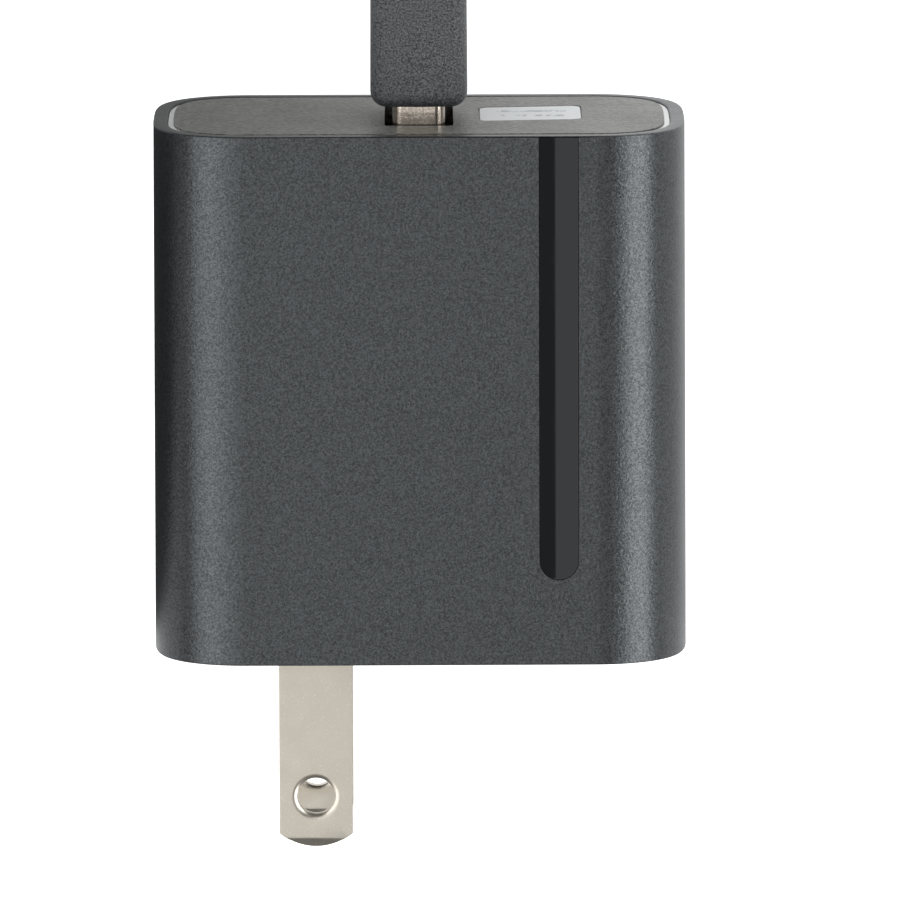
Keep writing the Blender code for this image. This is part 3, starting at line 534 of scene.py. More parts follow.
# %% Finishes of the parts inside
INSIDE_LOOKS = {
    # slot: dark tone, light tone, least and most roughness, grain in mm, metallic
    "spring_brass": ((0.60, 0.44, 0.19), (0.78, 0.61, 0.32), 0.22, 0.36, 0.25, 1.0),
    "gold_contact": ((0.76, 0.54, 0.19), (0.88, 0.68, 0.31), 0.16, 0.28, 0.12, 1.0),
    "board": ((0.012, 0.09, 0.035), (0.03, 0.15, 0.065), 0.34, 0.48, 0.8),
    "film": ((0.30, 0.28, 0.23), (0.40, 0.38, 0.33), 0.30, 0.45, 1.2),
    "ferrite": ((0.035, 0.035, 0.04), (0.075, 0.075, 0.08), 0.50, 0.66, 0.3, 0.1),
    "white_nylon": ((0.70, 0.70, 0.67), (0.84, 0.84, 0.82), 0.40, 0.52, 0.4),
    "winding_tape": ((0.62, 0.42, 0.03), (0.82, 0.62, 0.08), 0.20, 0.34, 1.6),
    "capacitor_sleeve": ((0.02, 0.035, 0.12), (0.045, 0.07, 0.21), 0.22, 0.34, 1.0),
    "epoxy": ((0.012, 0.012, 0.014), (0.03, 0.03, 0.033), 0.46, 0.58, 0.22),
    "blue_epoxy": ((0.02, 0.12, 0.34), (0.045, 0.2, 0.5), 0.16, 0.3, 1.2),
}
inside_finishes = {slot: grained(slot, *look) for slot, look in INSIDE_LOOKS.items()}
print("finishes:", *inside_finishes)

# %% [markdown]
# ## Shaping by hand
#
# Pieces are modelled the way one would at the screen: add a primitive, go into edit mode, pick
# faces or edges, extrude, inset and bevel them. In a script the picking is done by place. These
# helpers keep each later cell to the modelling steps alone.

# %% Picking, carving and finishing
NEAR = 0.01 * MM  # two places closer than this are the same


def only(*pieces):
    """Leaves edit mode and selects these pieces alone. The last one is active."""
    if bpy.context.mode != "OBJECT":
        bpy.ops.object.mode_set(mode="OBJECT")
    bpy.ops.object.select_all(action="DESELECT")
    for piece in pieces:
        piece.select_set(True)
        bpy.context.view_layer.objects.active = piece


def add_piece(add, name, **settings):
    """Adds a primitive, and applies its place, turn and size so that it sits at the origin."""
    only()
    add(**settings)
    made = bpy.context.object
    made.name = made.data.name = name
    bpy.ops.object.transform_apply(location=True, rotation=True, scale=True)
    return made


def box_piece(name, low, high):
    """A cube between two opposite corners."""
    low, high = Vector(low), Vector(high)
    cube = bpy.ops.mesh.primitive_cube_add
    return add_piece(cube, name, size=1.0, location=(low + high) / 2, scale=high - low)


def pick(piece, kind, test=lambda co: True):
    """In edit mode, selects the faces, edges or corners that pass a test on their points."""
    if bpy.context.mode != "EDIT_MESH":
        only(piece)
        bpy.ops.object.mode_set(mode="EDIT")
    bpy.ops.mesh.select_mode(type=kind)
    bpy.ops.mesh.select_all(action="DESELECT")
    work = bmesh.from_edit_mesh(piece.data)
    things = {"FACE": work.faces, "EDGE": work.edges, "VERT": work.verts}[kind]
    for thing in things:
        corners = [thing] if kind == "VERT" else thing.verts
        if all(test(corner.co) for corner in corners):
            thing.select_set(True)
    if kind == "VERT":
        work.select_flush(True)
    bmesh.update_edit_mesh(piece.data)


def keep_edges(piece, test):
    """Leaves only the selected edges that pass a test selected."""
    work = bmesh.from_edit_mesh(piece.data)
    for edge in work.edges:
        if edge.select and not test(edge):
            edge.select_set(False)
    work.select_flush_mode()
    bmesh.update_edit_mesh(piece.data)


def pick_along(piece, axis, test=lambda co: True):
    """Selects the edges that run along an axis, 0 for X to 2 for Z, and pass a test."""
    pick(piece, "EDGE", test)
    keep_edges(piece, lambda edge: abs(edge.verts[0].co[axis] - edge.verts[1].co[axis]) > NEAR)


def reshape(piece, rule):
    """Moves each corner, in edit mode, to where a rule on its place says."""
    pick(piece, "VERT")
    work = bmesh.from_edit_mesh(piece.data)
    for corner in work.verts:
        corner.co = rule(corner.co)
    bmesh.update_edit_mesh(piece.data)


def extrude(along):
    bpy.ops.mesh.extrude_region_move(TRANSFORM_OT_translate={"value": along})


def close_edit(piece):
    """Points every face outwards and leaves edit mode."""
    bpy.ops.mesh.select_all(action="SELECT")
    bpy.ops.mesh.normals_make_consistent(inside=False)
    bpy.ops.object.mode_set(mode="OBJECT")
    return piece


def change(piece, kind, **settings):
    """Adds a modifier and applies it at once."""
    modifier = piece.modifiers.new("step", kind)
    for label, value in settings.items():
        setattr(modifier, label, value)
    only(piece)
    bpy.ops.object.modifier_apply(modifier=modifier.name)


def combine(piece, other, operation="DIFFERENCE"):
    """Cuts the other shape out of a piece, or joins it on, and removes the other shape."""
    change(piece, "BOOLEAN", operation=operation, object=other)
    bpy.data.objects.remove(other)


def round_edges(piece, width, segments=2, sharper_than=50):
    """Rounds every edge that is sharper than an angle in degrees."""
    limit = math.radians(sharper_than)
    change(
        piece, "BEVEL", width=width, segments=segments,
        limit_method="ANGLE", angle_limit=limit, use_clamp_overlap=True,
    )


def deliver(piece, body, slot, nodes, *finishes, angle=40):
    """Finishes a piece that stands for plain nodes of the frame.

    Edges sharper than the angle stay sharp, flat faces stay flat, and the rest is smooth. The
    piece gets its finishes, and the body that it moves with.
    """
    only(piece)
    bpy.ops.object.shade_smooth_by_angle(angle=math.radians(angle))
    change(piece, "WEIGHTED_NORMAL", keep_sharp=True)
    piece.data.materials.clear()
    for finish in finishes:
        piece.data.materials.append(finish)
    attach(piece, body)
    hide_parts(*nodes)
    print(piece.name, [round(s / MM, 2) for s in piece.dimensions], "mm,", len(piece.data.polygons), "faces")
    return piece


def rounded_bar(name, low, high, radius, steps=6, axis=1):
    """A box whose four edges along one axis are round."""
    piece = box_piece(name, low, high)
    pick_along(piece, axis)
    bpy.ops.mesh.bevel(offset=radius, segments=steps, affect="EDGES")
    return close_edit(piece)


# %% [markdown]
# ## Housing
#
# The housing is a sleeve with a flat front and back. Its corners curve in over eight
# millimetres, but its sides stay upright for most of their height. Bevelling the corners of a
# stretched outline until they meet gives plain ellipses first. A power below one on each
# point's height then lifts the points towards the front and the back, which leaves the middle
# of the side upright. The outline is extruded to the charger's length, inset for the rim, and
# sunk to make the seat for the port cap. An outline for a piece inside the rim is inset from
# the same curve, so the gap between the two is even.

# %% Outline with swept corners
CORNER_REACH = 8.0 * MM
SIDE_POWER = 3.7
CORNER_STEPS = 60
ALMOST = 0.9999  # a bevel that stops just short of meeting its neighbour
DRAFT_START = 1.001
DRAFT = 0.005


def body_outline(name, inset, y):
    """The housing's outline as one face across the Y axis, moved in by an inset."""
    piece = add_piece(bpy.ops.mesh.primitive_plane_add, name, size=1.0)
    width = body_high.x - body_low.x
    half_depth = (body_high.z - body_low.z) / 2
    stretch = half_depth / CORNER_REACH
    pick(piece, "VERT")
    bpy.ops.transform.resize(value=(width * stretch, 2 * half_depth, 1.0))
    bpy.ops.mesh.bevel(offset=half_depth * 0.99999, affect="VERTICES", segments=CORNER_STEPS)
    bpy.ops.mesh.select_all(action="SELECT")
    bpy.ops.mesh.remove_doubles(threshold=0.01 * MM)
    bpy.ops.transform.resize(value=(1 / stretch, 1.0, 1.0))

    def lifted(co):
        share = min(1.0, abs(co.y) / half_depth)
        return co.x, math.copysign(half_depth * share ** (2 / SIDE_POWER), co.y), co.z

    reshape(piece, lifted)
    if inset > 0:
        bpy.ops.mesh.select_mode(type="FACE")
        bpy.ops.mesh.select_all(action="SELECT")
        bpy.ops.mesh.inset(thickness=inset, depth=0.0, use_even_offset=True)
        bpy.ops.mesh.select_all(action="INVERT")
        bpy.ops.mesh.delete(type="FACE")
        bpy.ops.mesh.select_all(action="SELECT")
    bpy.ops.transform.rotate(value=math.pi / 2, orient_axis="X", center_override=(0.0, 0.0, 0.0))
    bpy.ops.transform.translate(value=(0.0, y, MID_Z))
    return piece


def drafted(piece):
    """Narrows a piece evenly towards the port by a fifth of a millimetre, as moulds need."""
    length = PORT_Y - END_Y
    reshape(piece, lambda co: (co.x * (DRAFT_START - DRAFT * (co.y - END_Y) / length), co.y, co.z))
    return close_edit(piece)


# %% Sleeve, rim and seat
RIM = 1.25 * MM
WALL = 1.8 * MM
CAP_SEAT = 2.2 * MM
END_WALL = 1.5 * MM
END_ROUND = 0.1 * MM
RIM_ROUND = 0.14 * MM
RIM_SHARP = math.radians(60)

shell = body_outline("charger_shell", 0.0, END_Y)
extrude((0.0, PORT_Y - END_Y, 0.0))
pick(shell, "FACE", lambda co: co.y > PORT_Y - NEAR)
bpy.ops.mesh.inset(thickness=RIM, depth=0.0, use_even_offset=True)
extrude((0.0, -CAP_SEAT, 0.0))
bpy.ops.mesh.inset(thickness=WALL - RIM, depth=0.0, use_even_offset=True)
extrude((0.0, END_Y + END_WALL + CAP_SEAT - PORT_Y, 0.0))
pick(shell, "EDGE", lambda co: co.y > PORT_Y - NEAR)
keep_edges(shell, lambda edge: edge.calc_face_angle(0.0) >= RIM_SHARP)
bpy.ops.mesh.bevel(offset=RIM_ROUND, segments=3, affect="EDGES")
pick(shell, "EDGE", lambda co: co.y < END_Y + NEAR)
bpy.ops.mesh.bevel(offset=END_ROUND, segments=4, affect="EDGES")
drafted(close_edit(shell))
print("sleeve faces:", len(shell.data.polygons))

# %% [markdown]
# The end wall has one opening for the barrel that carries the blades, and one long opening that
# the blades fold into. Boolean cutters follow the parts that show through them, with a little
# clearance, so they are measured from those parts.

# %% Openings for the fold
CLEARANCE = 0.3 * MM
THROUGH = 1.0 * MM
SLOT_WIDTH = 2.3 * MM
SLOT_REACH = 21.2 * MM
BARREL_HALF = 9.2 * MM
BARREL_RADIUS = size_of("prong_barrel").x / 2
PIVOT_X = middle_of("front_blade").x
PIVOT_Y = middle_of("prong_barrel").y
BLADE_LEVELS = [middle_of("rear_blade").z, middle_of("front_blade").z]
wall_low, wall_high = END_Y - THROUGH, END_Y + END_WALL + THROUGH

half_x, half_z = BARREL_RADIUS + CLEARANCE, BARREL_HALF + CLEARANCE
window_low = (PIVOT_X - half_x, wall_low, MID_Z - half_z)
window_high = (PIVOT_X + half_x, wall_high, MID_Z + half_z)
combine(shell, box_piece("barrel_window", window_low, window_high))
slots_low = (PIVOT_X, wall_low, BLADE_LEVELS[0] - SLOT_WIDTH / 2)
slots_high = (PIVOT_X + SLOT_REACH, wall_high, BLADE_LEVELS[1] + SLOT_WIDTH / 2)
combine(shell, box_piece("blade_window", slots_low, slots_high))
print("shell faces:", len(shell.data.polygons))

# %% [markdown]
# The accent strip is let into the front face, flush with it. Its outline is a bar whose two
# lower corners are bevelled by half its width, which makes a true half circle.

# %% Strip outline, and its pocket in the shell
strip_low, strip_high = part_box("accent_strip")
STRIP_X = (strip_low.x + strip_high.x) / 2 - 0.06 * MM
STRIP_WIDTH = strip_high.x - strip_low.x
STRIP_TOP = PORT_Y - 0.15 * MM
END_STEPS = 24
POCKET_GAP = 0.05 * MM


def strip_slab(name, grow, low_z, high_z):
    """A slab of the strip's outline, grown by a clearance."""
    half = STRIP_WIDTH / 2 + grow
    base_y = strip_low.y - grow
    piece = box_piece(name, (STRIP_X - half, base_y, low_z), (STRIP_X + half, STRIP_TOP + grow, high_z))
    pick_along(piece, 2, lambda co: co.y < base_y + NEAR)
    bpy.ops.mesh.bevel(offset=half * ALMOST, segments=END_STEPS, affect="EDGES")
    bpy.ops.mesh.select_all(action="SELECT")
    bpy.ops.mesh.remove_doubles(threshold=0.002 * MM)
    return close_edit(piece)


combine(shell, strip_slab("strip_pocket", POCKET_GAP, strip_low.z - CLEARANCE, FRONT_Z + THROUGH))
round_edges(shell, 0.07 * MM, sharper_than=60)
deliver(shell, "charger", "graphite_shell", ["housing_sleeve"], graphite)

# %% [markdown]
# ## Accent strip
#
# The strip is piano-black plastic with a shallow groove all along, as a ball-nosed cutter would
# leave it: round across, and round again at its lower end. The cutter itself is modelled, a
# long cylinder and then the ball at its end, and each is taken out of the slab. The wide,
# shallow curve turns the overhead panel into one soft light line beside a deep black one.

# %% Gloss strip with a ball-nosed groove
GROOVE_DEPTH = 0.17 * MM
BALL_STEPS = 240
half_strip = STRIP_WIDTH / 2
ball_radius = (half_strip**2 + GROOVE_DEPTH**2) / (2 * GROOVE_DEPTH)
ball_z = FRONT_Z + ball_radius - GROOVE_DEPTH
ball_y = strip_low.y + half_strip
run = STRIP_TOP - ball_y + 2 * MM
along_y = (math.pi / 2, 0.0, 0.0)

strip = strip_slab("gloss_strip", 0.0, strip_low.z, FRONT_Z)
combine(strip, add_piece(
    bpy.ops.mesh.primitive_cylinder_add, "ball_nose_side", vertices=BALL_STEPS,
    radius=ball_radius, depth=run, location=(STRIP_X, ball_y + run / 2, ball_z), rotation=along_y,
))
combine(strip, add_piece(
    bpy.ops.mesh.primitive_uv_sphere_add, "ball_nose_end", segments=BALL_STEPS,
    ring_count=BALL_STEPS // 2, radius=ball_radius, location=(STRIP_X, ball_y, ball_z), rotation=along_y,
))
deliver(strip, "charger", "gloss_black", ["accent_strip"], gloss, angle=12)

# %% [markdown]
# ## Port cap
#
# The cap closes the sleeve at the port end. It sits inside the rim with a hairline gap, and a
# narrow shallow ledge runs round its edge. The ledge is bare and pale, so it shows as a bright
# crescent at each rounded end. The same outline helper gives the cap the sleeve's shape, a
# little smaller. The raised middle is an inset that is extruded again, and the ledge's faces,
# which are picked by their place, take a second material. The label lies slightly aslant.

# %% Cap with its ledge and openings
CAP_GAP = 0.05 * MM
CAP_THICK = size_of("port_cap").y
LEDGE_WIDTH = 0.45 * MM
LEDGE_DROP = 0.18 * MM
HOLE_HALF_X, HOLE_HALF_Z, HOLE_ROUND = 2.95 * MM, 6.45 * MM, 0.5 * MM
LABEL_ROUND = 0.9 * MM
LABEL_MARGIN = Vector((0.1 * MM, 0.0, 0.1 * MM))
LABEL_SLANT = 0.11  # how far the label's top and bottom edges drop for each step to the right
label_low, label_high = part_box("serial_label")
ledge_y = PORT_Y - LEDGE_DROP


def slanted(piece):
    """Slides each point down as it lies further right."""
    reshape(piece, lambda co: (co.x, co.y, co.z - LABEL_SLANT * (co.x - label_middle.x)))
    return close_edit(piece)


cap = body_outline("port_cap_plate", RIM + CAP_GAP, PORT_Y - CAP_THICK)
extrude((0.0, CAP_THICK - LEDGE_DROP, 0.0))
pick(cap, "FACE", lambda co: co.y > ledge_y - NEAR)
bpy.ops.mesh.inset(thickness=LEDGE_WIDTH, depth=0.0, use_even_offset=True)
extrude((0.0, LEDGE_DROP, 0.0))
drafted(close_edit(cap))
hole_low = (-HOLE_HALF_X, PORT_Y - CAP_THICK - THROUGH, MID_Z - HOLE_HALF_Z)
hole_high = (HOLE_HALF_X, PORT_Y + THROUGH, MID_Z + HOLE_HALF_Z)
combine(cap, rounded_bar("port_hole", hole_low, hole_high, HOLE_ROUND))
pocket_low = Vector((label_low.x, label_low.y - 0.02 * MM, label_low.z)) - LABEL_MARGIN
pocket_high = Vector((label_high.x, PORT_Y + THROUGH, label_high.z)) + LABEL_MARGIN
combine(cap, slanted(rounded_bar("label_pocket", pocket_low, pocket_high, LABEL_ROUND)))
deliver(cap, "charger", "port_cap", ["port_cap"], cap_grey, pale_ledge, angle=30)
for face in cap.data.polygons:
    on_ledge = abs(face.center.y - ledge_y) < NEAR and face.normal.y > 0.9
    face.material_index = 1 if on_ledge else 0
print("ledge faces:", sum(face.material_index for face in cap.data.polygons))

# %% Label film
label = slanted(rounded_bar("label_film_patch", label_low, label_high, LABEL_ROUND, steps=8))
round_edges(label, 0.03 * MM)
deliver(label, "charger", "label", ["serial_label"], label_film)

# %% [markdown]
# ## Folding blades
#
# Each blade is stamped from nickel-plated brass: straight sides, a bulged tip with a flat
# ground on each face, and a hole whose edge is countersunk by the tumbling. The plate starts as
# a cube. The tip's edge is subdivided and pushed out along a parabola, the two flats are
# bisected off, and the hole is cut with a cylinder and two cones.

# %% Blade plate
BLADE_SIZE = size_of("front_blade")
TIP_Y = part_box("front_blade")[0].y - 0.1 * MM
TIP_BULGE = 1.2 * MM
TIP_STEPS = 24
FLAT_START = TIP_Y + 1.0 * MM
FLAT_DROP = 0.42 * MM
HOLE_RADIUS = 1.6 * MM
HOLE_MOUTH = 2.09 * MM
HOLE_SIDES = 72
SINK_SLOPE = 0.53  # depth over width
HOLE_Y = END_Y - 12.65 * MM
SHOULDER_Y = END_Y + 0.2 * MM
TANG_WIDTH = 3.0 * MM
TANG_END = PIVOT_Y + 3.6 * MM


def shape_tip(piece):
    """Subdivides the tip's two edges and bulges them into a shallow curve."""
    corner_y = TIP_Y + TIP_BULGE
    pick_along(piece, 0, lambda co: co.y < corner_y + NEAR)
    bpy.ops.mesh.subdivide(number_cuts=TIP_STEPS)

    def bulged(co):
        aside = (co.x - PIVOT_X) / (BLADE_SIZE.x / 2)
        bulge = TIP_BULGE * (1 - aside**2) if co.y < corner_y + NEAR else 0.0
        return co.x, co.y - bulge, co.z

    reshape(piece, bulged)


def grind_flat(side, level):
    """Cuts the tip's ground flat on the face that looks up, 1, or down, -1."""
    bpy.ops.mesh.select_all(action="SELECT")
    slope = Vector((0.0, -FLAT_DROP, side * (FLAT_START - TIP_Y))).normalized()
    start = (PIVOT_X, FLAT_START, level + side * BLADE_SIZE.z / 2)
    bpy.ops.mesh.bisect(plane_co=start, plane_no=slope, clear_outer=True, use_fill=True)


def cut_hole(piece, level):
    """The through hole and its two countersinks."""
    combine(piece, add_piece(
        bpy.ops.mesh.primitive_cylinder_add, "hole_cutter", vertices=HOLE_SIDES,
        radius=HOLE_RADIUS, depth=4 * BLADE_SIZE.z, location=(PIVOT_X, HOLE_Y, level),
    ))
    sink = HOLE_MOUTH - HOLE_RADIUS
    for side, turn in ((1, 0.0), (-1, math.pi)):
        combine(piece, add_piece(
            bpy.ops.mesh.primitive_cone_add, "countersink_cutter", vertices=HOLE_SIDES,
            radius1=HOLE_RADIUS, radius2=HOLE_MOUTH + sink, depth=2 * sink * SINK_SLOPE,
            location=(PIVOT_X, HOLE_Y, level + side * BLADE_SIZE.z / 2), rotation=(turn, 0.0, 0.0),
        ))


def make_blade(name, node, level):
    thick = BLADE_SIZE.z / 2
    low = (PIVOT_X - BLADE_SIZE.x / 2, TIP_Y + TIP_BULGE, level - thick)
    blade = box_piece(name, low, (PIVOT_X + BLADE_SIZE.x / 2, SHOULDER_Y, level + thick))
    shape_tip(blade)
    for side in (1, -1):
        grind_flat(side, level)
    close_edit(blade)
    tang_low = (PIVOT_X - TANG_WIDTH / 2, SHOULDER_Y - 1.0 * MM, level - thick)
    tang = box_piece("tang", tang_low, (PIVOT_X + TANG_WIDTH / 2, TANG_END, level + thick))
    combine(blade, tang, "UNION")
    cut_hole(blade, level)
    round_edges(blade, 0.06 * MM, sharper_than=55)
    deliver(blade, "prongs", "blade_nickel", [node], nickels["blade_nickel"], angle=28)


make_blade("front_blade_plate", "front_blade", BLADE_LEVELS[1])
make_blade("rear_blade_plate", "rear_blade", BLADE_LEVELS[0])

# %% [markdown]
# ## Barrel
#
# Both blades are moulded into one nylon barrel that turns in the charger. A round piece with
# steps is quickest made like lathe work: start with a disc, extrude it, resize the end face,
# and extrude again. The helper takes the stations along the way and is used for every turned
# piece of the cable as well.

# %% Turning a piece from stations
def turned(name, start, along, stations, sides=48):
    """A round piece from (distance, radius) stations along a direction."""
    along = Vector(along).normalized()
    first_distance, first_radius = stations[0]
    here = Vector(start) + first_distance * along
    piece = add_piece(
        bpy.ops.mesh.primitive_circle_add, name, vertices=sides, radius=first_radius,
        fill_type="NGON", location=here, rotation=along.to_track_quat("Z", "Y").to_euler(),
    )
    pick(piece, "VERT")
    for (distance, radius), (next_distance, next_radius) in zip(stations, stations[1:]):
        step = (next_distance - distance) * along
        extrude(step)
        here = here + step
        if abs(next_radius - radius) > 1e-7:
            growth = next_radius / radius
            bpy.ops.transform.resize(value=(growth, growth, growth), center_override=here)
    return close_edit(piece)


axle_low, axle_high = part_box("prong_barrel")
AXLE_RADIUS = 1.5 * MM
EDGE = 0.2 * MM
TANG_GAP = 0.05 * MM
low_end, high_end = MID_Z - BARREL_HALF, MID_Z + BARREL_HALF
barrel_stations = (
    (axle_low.z, AXLE_RADIUS - EDGE),
    (axle_low.z + EDGE, AXLE_RADIUS),
    (low_end, AXLE_RADIUS),
    (low_end + NEAR, BARREL_RADIUS - EDGE),
    (low_end + EDGE, BARREL_RADIUS),
    (high_end - EDGE, BARREL_RADIUS),
    (high_end - NEAR, BARREL_RADIUS - EDGE),
    (high_end, AXLE_RADIUS),
    (axle_high.z - EDGE, AXLE_RADIUS),
    (axle_high.z, AXLE_RADIUS - EDGE),
)
barrel = turned("fold_barrel", (PIVOT_X, PIVOT_Y, 0.0), (0, 0, 1), barrel_stations, sides=96)
slot_half = Vector((TANG_WIDTH / 2 + TANG_GAP, BARREL_RADIUS + THROUGH, BLADE_SIZE.z / 2 + TANG_GAP))
for level in BLADE_LEVELS:
    middle = Vector((PIVOT_X, PIVOT_Y, level))
    combine(barrel, box_piece("tang_slot", middle - slot_half, middle + slot_half))
deliver(barrel, "prongs", "black_nylon", ["prong_barrel"], nylon, angle=30)

# %% [markdown]
# ## Softened copies
#
# The cradle and the socket already have their true shapes in the frame, but with knife-sharp
# edges. Moulded and folded parts never have those. A copy of such a node is merged from loose
# triangles back into whole faces, its edges are rounded a little, and it stands for the node.
# The node itself stays untouched.

# %% Rounding the edges of a copied node
def softened(node, name, slot, finish, width):
    copy = frame["nodes"][node].copy()
    copy.data = copy.data.copy()
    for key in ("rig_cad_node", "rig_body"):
        if key in copy:
            del copy[key]
    copy.parent = None
    copy.name = name
    bpy.context.scene.collection.objects.link(copy)
    pick(copy, "VERT")
    bpy.ops.mesh.remove_doubles(threshold=0.002 * MM)
    bpy.ops.mesh.dissolve_limited(angle_limit=math.radians(1.0))
    close_edit(copy)
    round_edges(copy, width, sharper_than=35)
    deliver(copy, "charger", slot, [node], finish, angle=35)


softened("prong_cradle", "fold_cradle", "black_nylon", nylon, 0.12 * MM)
softened("usb_socket_shell", "socket_shell", "plug_nickel", nickels["plug_nickel"], 0.1 * MM)
softened("usb_socket_tongue", "socket_tongue", "black_nylon", nylon, 0.08 * MM)

# %% [markdown]
# ## Plug
#
# The plug's shell is folded from thin steel: a flat tube with small round corners, and two
# square windows on each broad face that the socket's springs snap into. It starts as a
# rounded bar. The end faces are deleted, the wall comes from Solidify, and the windows are
# cut through it.

# %% Plug shell
shell_low, shell_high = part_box("plug_shell")
SHELL_WALL = 0.3 * MM
SHELL_ROUND = 0.9 * MM
WINDOW_FROM_TIP = 5.1 * MM
WINDOW_APART = 2.85 * MM
WINDOW_HALF = Vector((4.0 * MM, 1.1 * MM, 1.15 * MM))

plug_tube = rounded_bar("plug_tube", shell_low, shell_high, SHELL_ROUND)
for end_y in (shell_low.y, shell_high.y):
    pick(plug_tube, "FACE", lambda co: abs(co.y - end_y) < NEAR)
    bpy.ops.mesh.delete(type="ONLY_FACE")
bpy.ops.object.mode_set(mode="OBJECT")
change(plug_tube, "SOLIDIFY", thickness=SHELL_WALL, offset=-1.0, use_even_offset=True)
for side in (-1, 1):
    window = Vector((0.0, shell_low.y + WINDOW_FROM_TIP, MID_Z + side * WINDOW_APART))
    combine(plug_tube, box_piece("spring_window", window - WINDOW_HALF, window + WINDOW_HALF))
deliver(plug_tube, "cable", "plug_nickel", ["plug_shell"], nickels["plug_nickel"], angle=35)

# %% [markdown]
# ## Grip and strain relief
#
# The grip is moulded over the plug's end. It narrows slightly towards the cable, and all its
# edges are well rounded. A faint ridge runs down the middle where the two halves of the mould
# met: the strip of faces between two close cuts is pushed out by a few hundredths of a
# millimetre.

# %% Plug grip
grip_low, grip_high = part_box("plug_overmold")
GRIP_ROUND = 1.4 * MM
GRIP_TAPER = 0.982
SEAM_HALF, SEAM_RISE = 0.07 * MM, 0.03 * MM
POCKET_HALF = Vector((2.3 * MM, 2.9 * MM, 6.05 * MM))

grip = box_piece("plug_grip", grip_low, grip_high)
pick(grip, "VERT", lambda co: co.y > grip_high.y - NEAR)
grip_end = (0.0, grip_high.y, MID_Z)
bpy.ops.transform.resize(value=(GRIP_TAPER, 1.0, GRIP_TAPER), center_override=grip_end)
bpy.ops.mesh.select_all(action="SELECT")
bpy.ops.mesh.bevel(offset=GRIP_ROUND, segments=8, affect="EDGES")
for side in (-1, 1):
    bpy.ops.mesh.select_all(action="SELECT")
    bpy.ops.mesh.bisect(plane_co=(side * SEAM_HALF, 0.0, 0.0), plane_no=(1.0, 0.0, 0.0))
pick(grip, "FACE", lambda co: abs(co.x) < SEAM_HALF + NEAR)
bpy.ops.transform.shrink_fatten(value=SEAM_RISE)
close_edit(grip)
mouth = Vector((0.0, grip_low.y, MID_Z))
combine(grip, box_piece("shell_pocket", mouth - POCKET_HALF, mouth + POCKET_HALF))
deliver(grip, "cable", "cord_jacket", ["plug_overmold"], jacket, angle=25)

# %% [markdown]
# The strain relief is a soft tapered sleeve with grooves all round, so that it bends a little
# more easily along its length and the cable never kinks at the plug. Each groove is two
# stations at the full radius and two at the groove's bottom.

# %% Strain reliefs
RIB_COUNT = 7
GROOVE = 0.42 * MM
LIP = 0.18 * MM


def make_relief(name, node, start_radius, end_radius):
    """A turned taper with evenly spaced grooves, plain at both ends."""
    length = size_of(node).y
    pitch = length / (RIB_COUNT + 1)
    stations = [(0.0, start_radius - LIP), (LIP, start_radius)]
    for number in range(1, RIB_COUNT + 1):
        for offset, sunk in ((-0.24, 0.0), (-0.16, GROOVE), (0.16, GROOVE), (0.24, 0.0)):
            distance = number * pitch + offset * pitch
            radius = start_radius + (end_radius - start_radius) * distance / length
            stations.append((distance, radius - sunk))
    stations += [(length - LIP, end_radius), (length, end_radius - LIP)]
    middle = middle_of(node)
    start = (middle.x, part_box(node)[0].y, middle.z)
    relief = turned(name, start, (0, 1, 0), stations)
    return deliver(relief, "cable", "cord_jacket", [node], jacket, angle=45)


relief = make_relief("cable_relief", "strain_relief", 3.3 * MM, 2.4 * MM)
far_relief = make_relief("far_relief", "device_strain_relief", 2.9 * MM, 2.2 * MM)

# %% [markdown]
# ## Far plug
#
# The small plug on the cable's other end has a slim oval grip and an oval steel tube. Both are
# boxes whose long edges are bevelled until they are nearly half round.

# %% Far plug's grip and tube
FAR_GRIP_ROUND = 2.6 * MM
TUBE_WALL = 0.3 * MM
tube_low, tube_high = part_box("device_plug_shell")
tube_round = 0.98 * (tube_high.z - tube_low.z) / 2

far_grip = rounded_bar("far_grip", *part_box("device_plug_overmold"), FAR_GRIP_ROUND, steps=14)
round_edges(far_grip, 0.7 * MM, segments=5, sharper_than=60)
deliver(far_grip, "cable", "cord_jacket", ["device_plug_overmold"], jacket, angle=25)

far_tube = rounded_bar("far_tube", tube_low, tube_high, tube_round, steps=14)
pick(far_tube, "FACE", lambda co: co.y < tube_low.y + NEAR)
bpy.ops.mesh.inset(thickness=TUBE_WALL, use_even_offset=True)
extrude((0.0, 0.9 * (tube_high.y - tube_low.y), 0.0))
close_edit(far_tube)
round_edges(far_tube, 0.06 * MM, sharper_than=70)
deliver(far_tube, "cable", "plug_nickel", ["device_plug_shell"], nickels["plug_nickel"], angle=30)
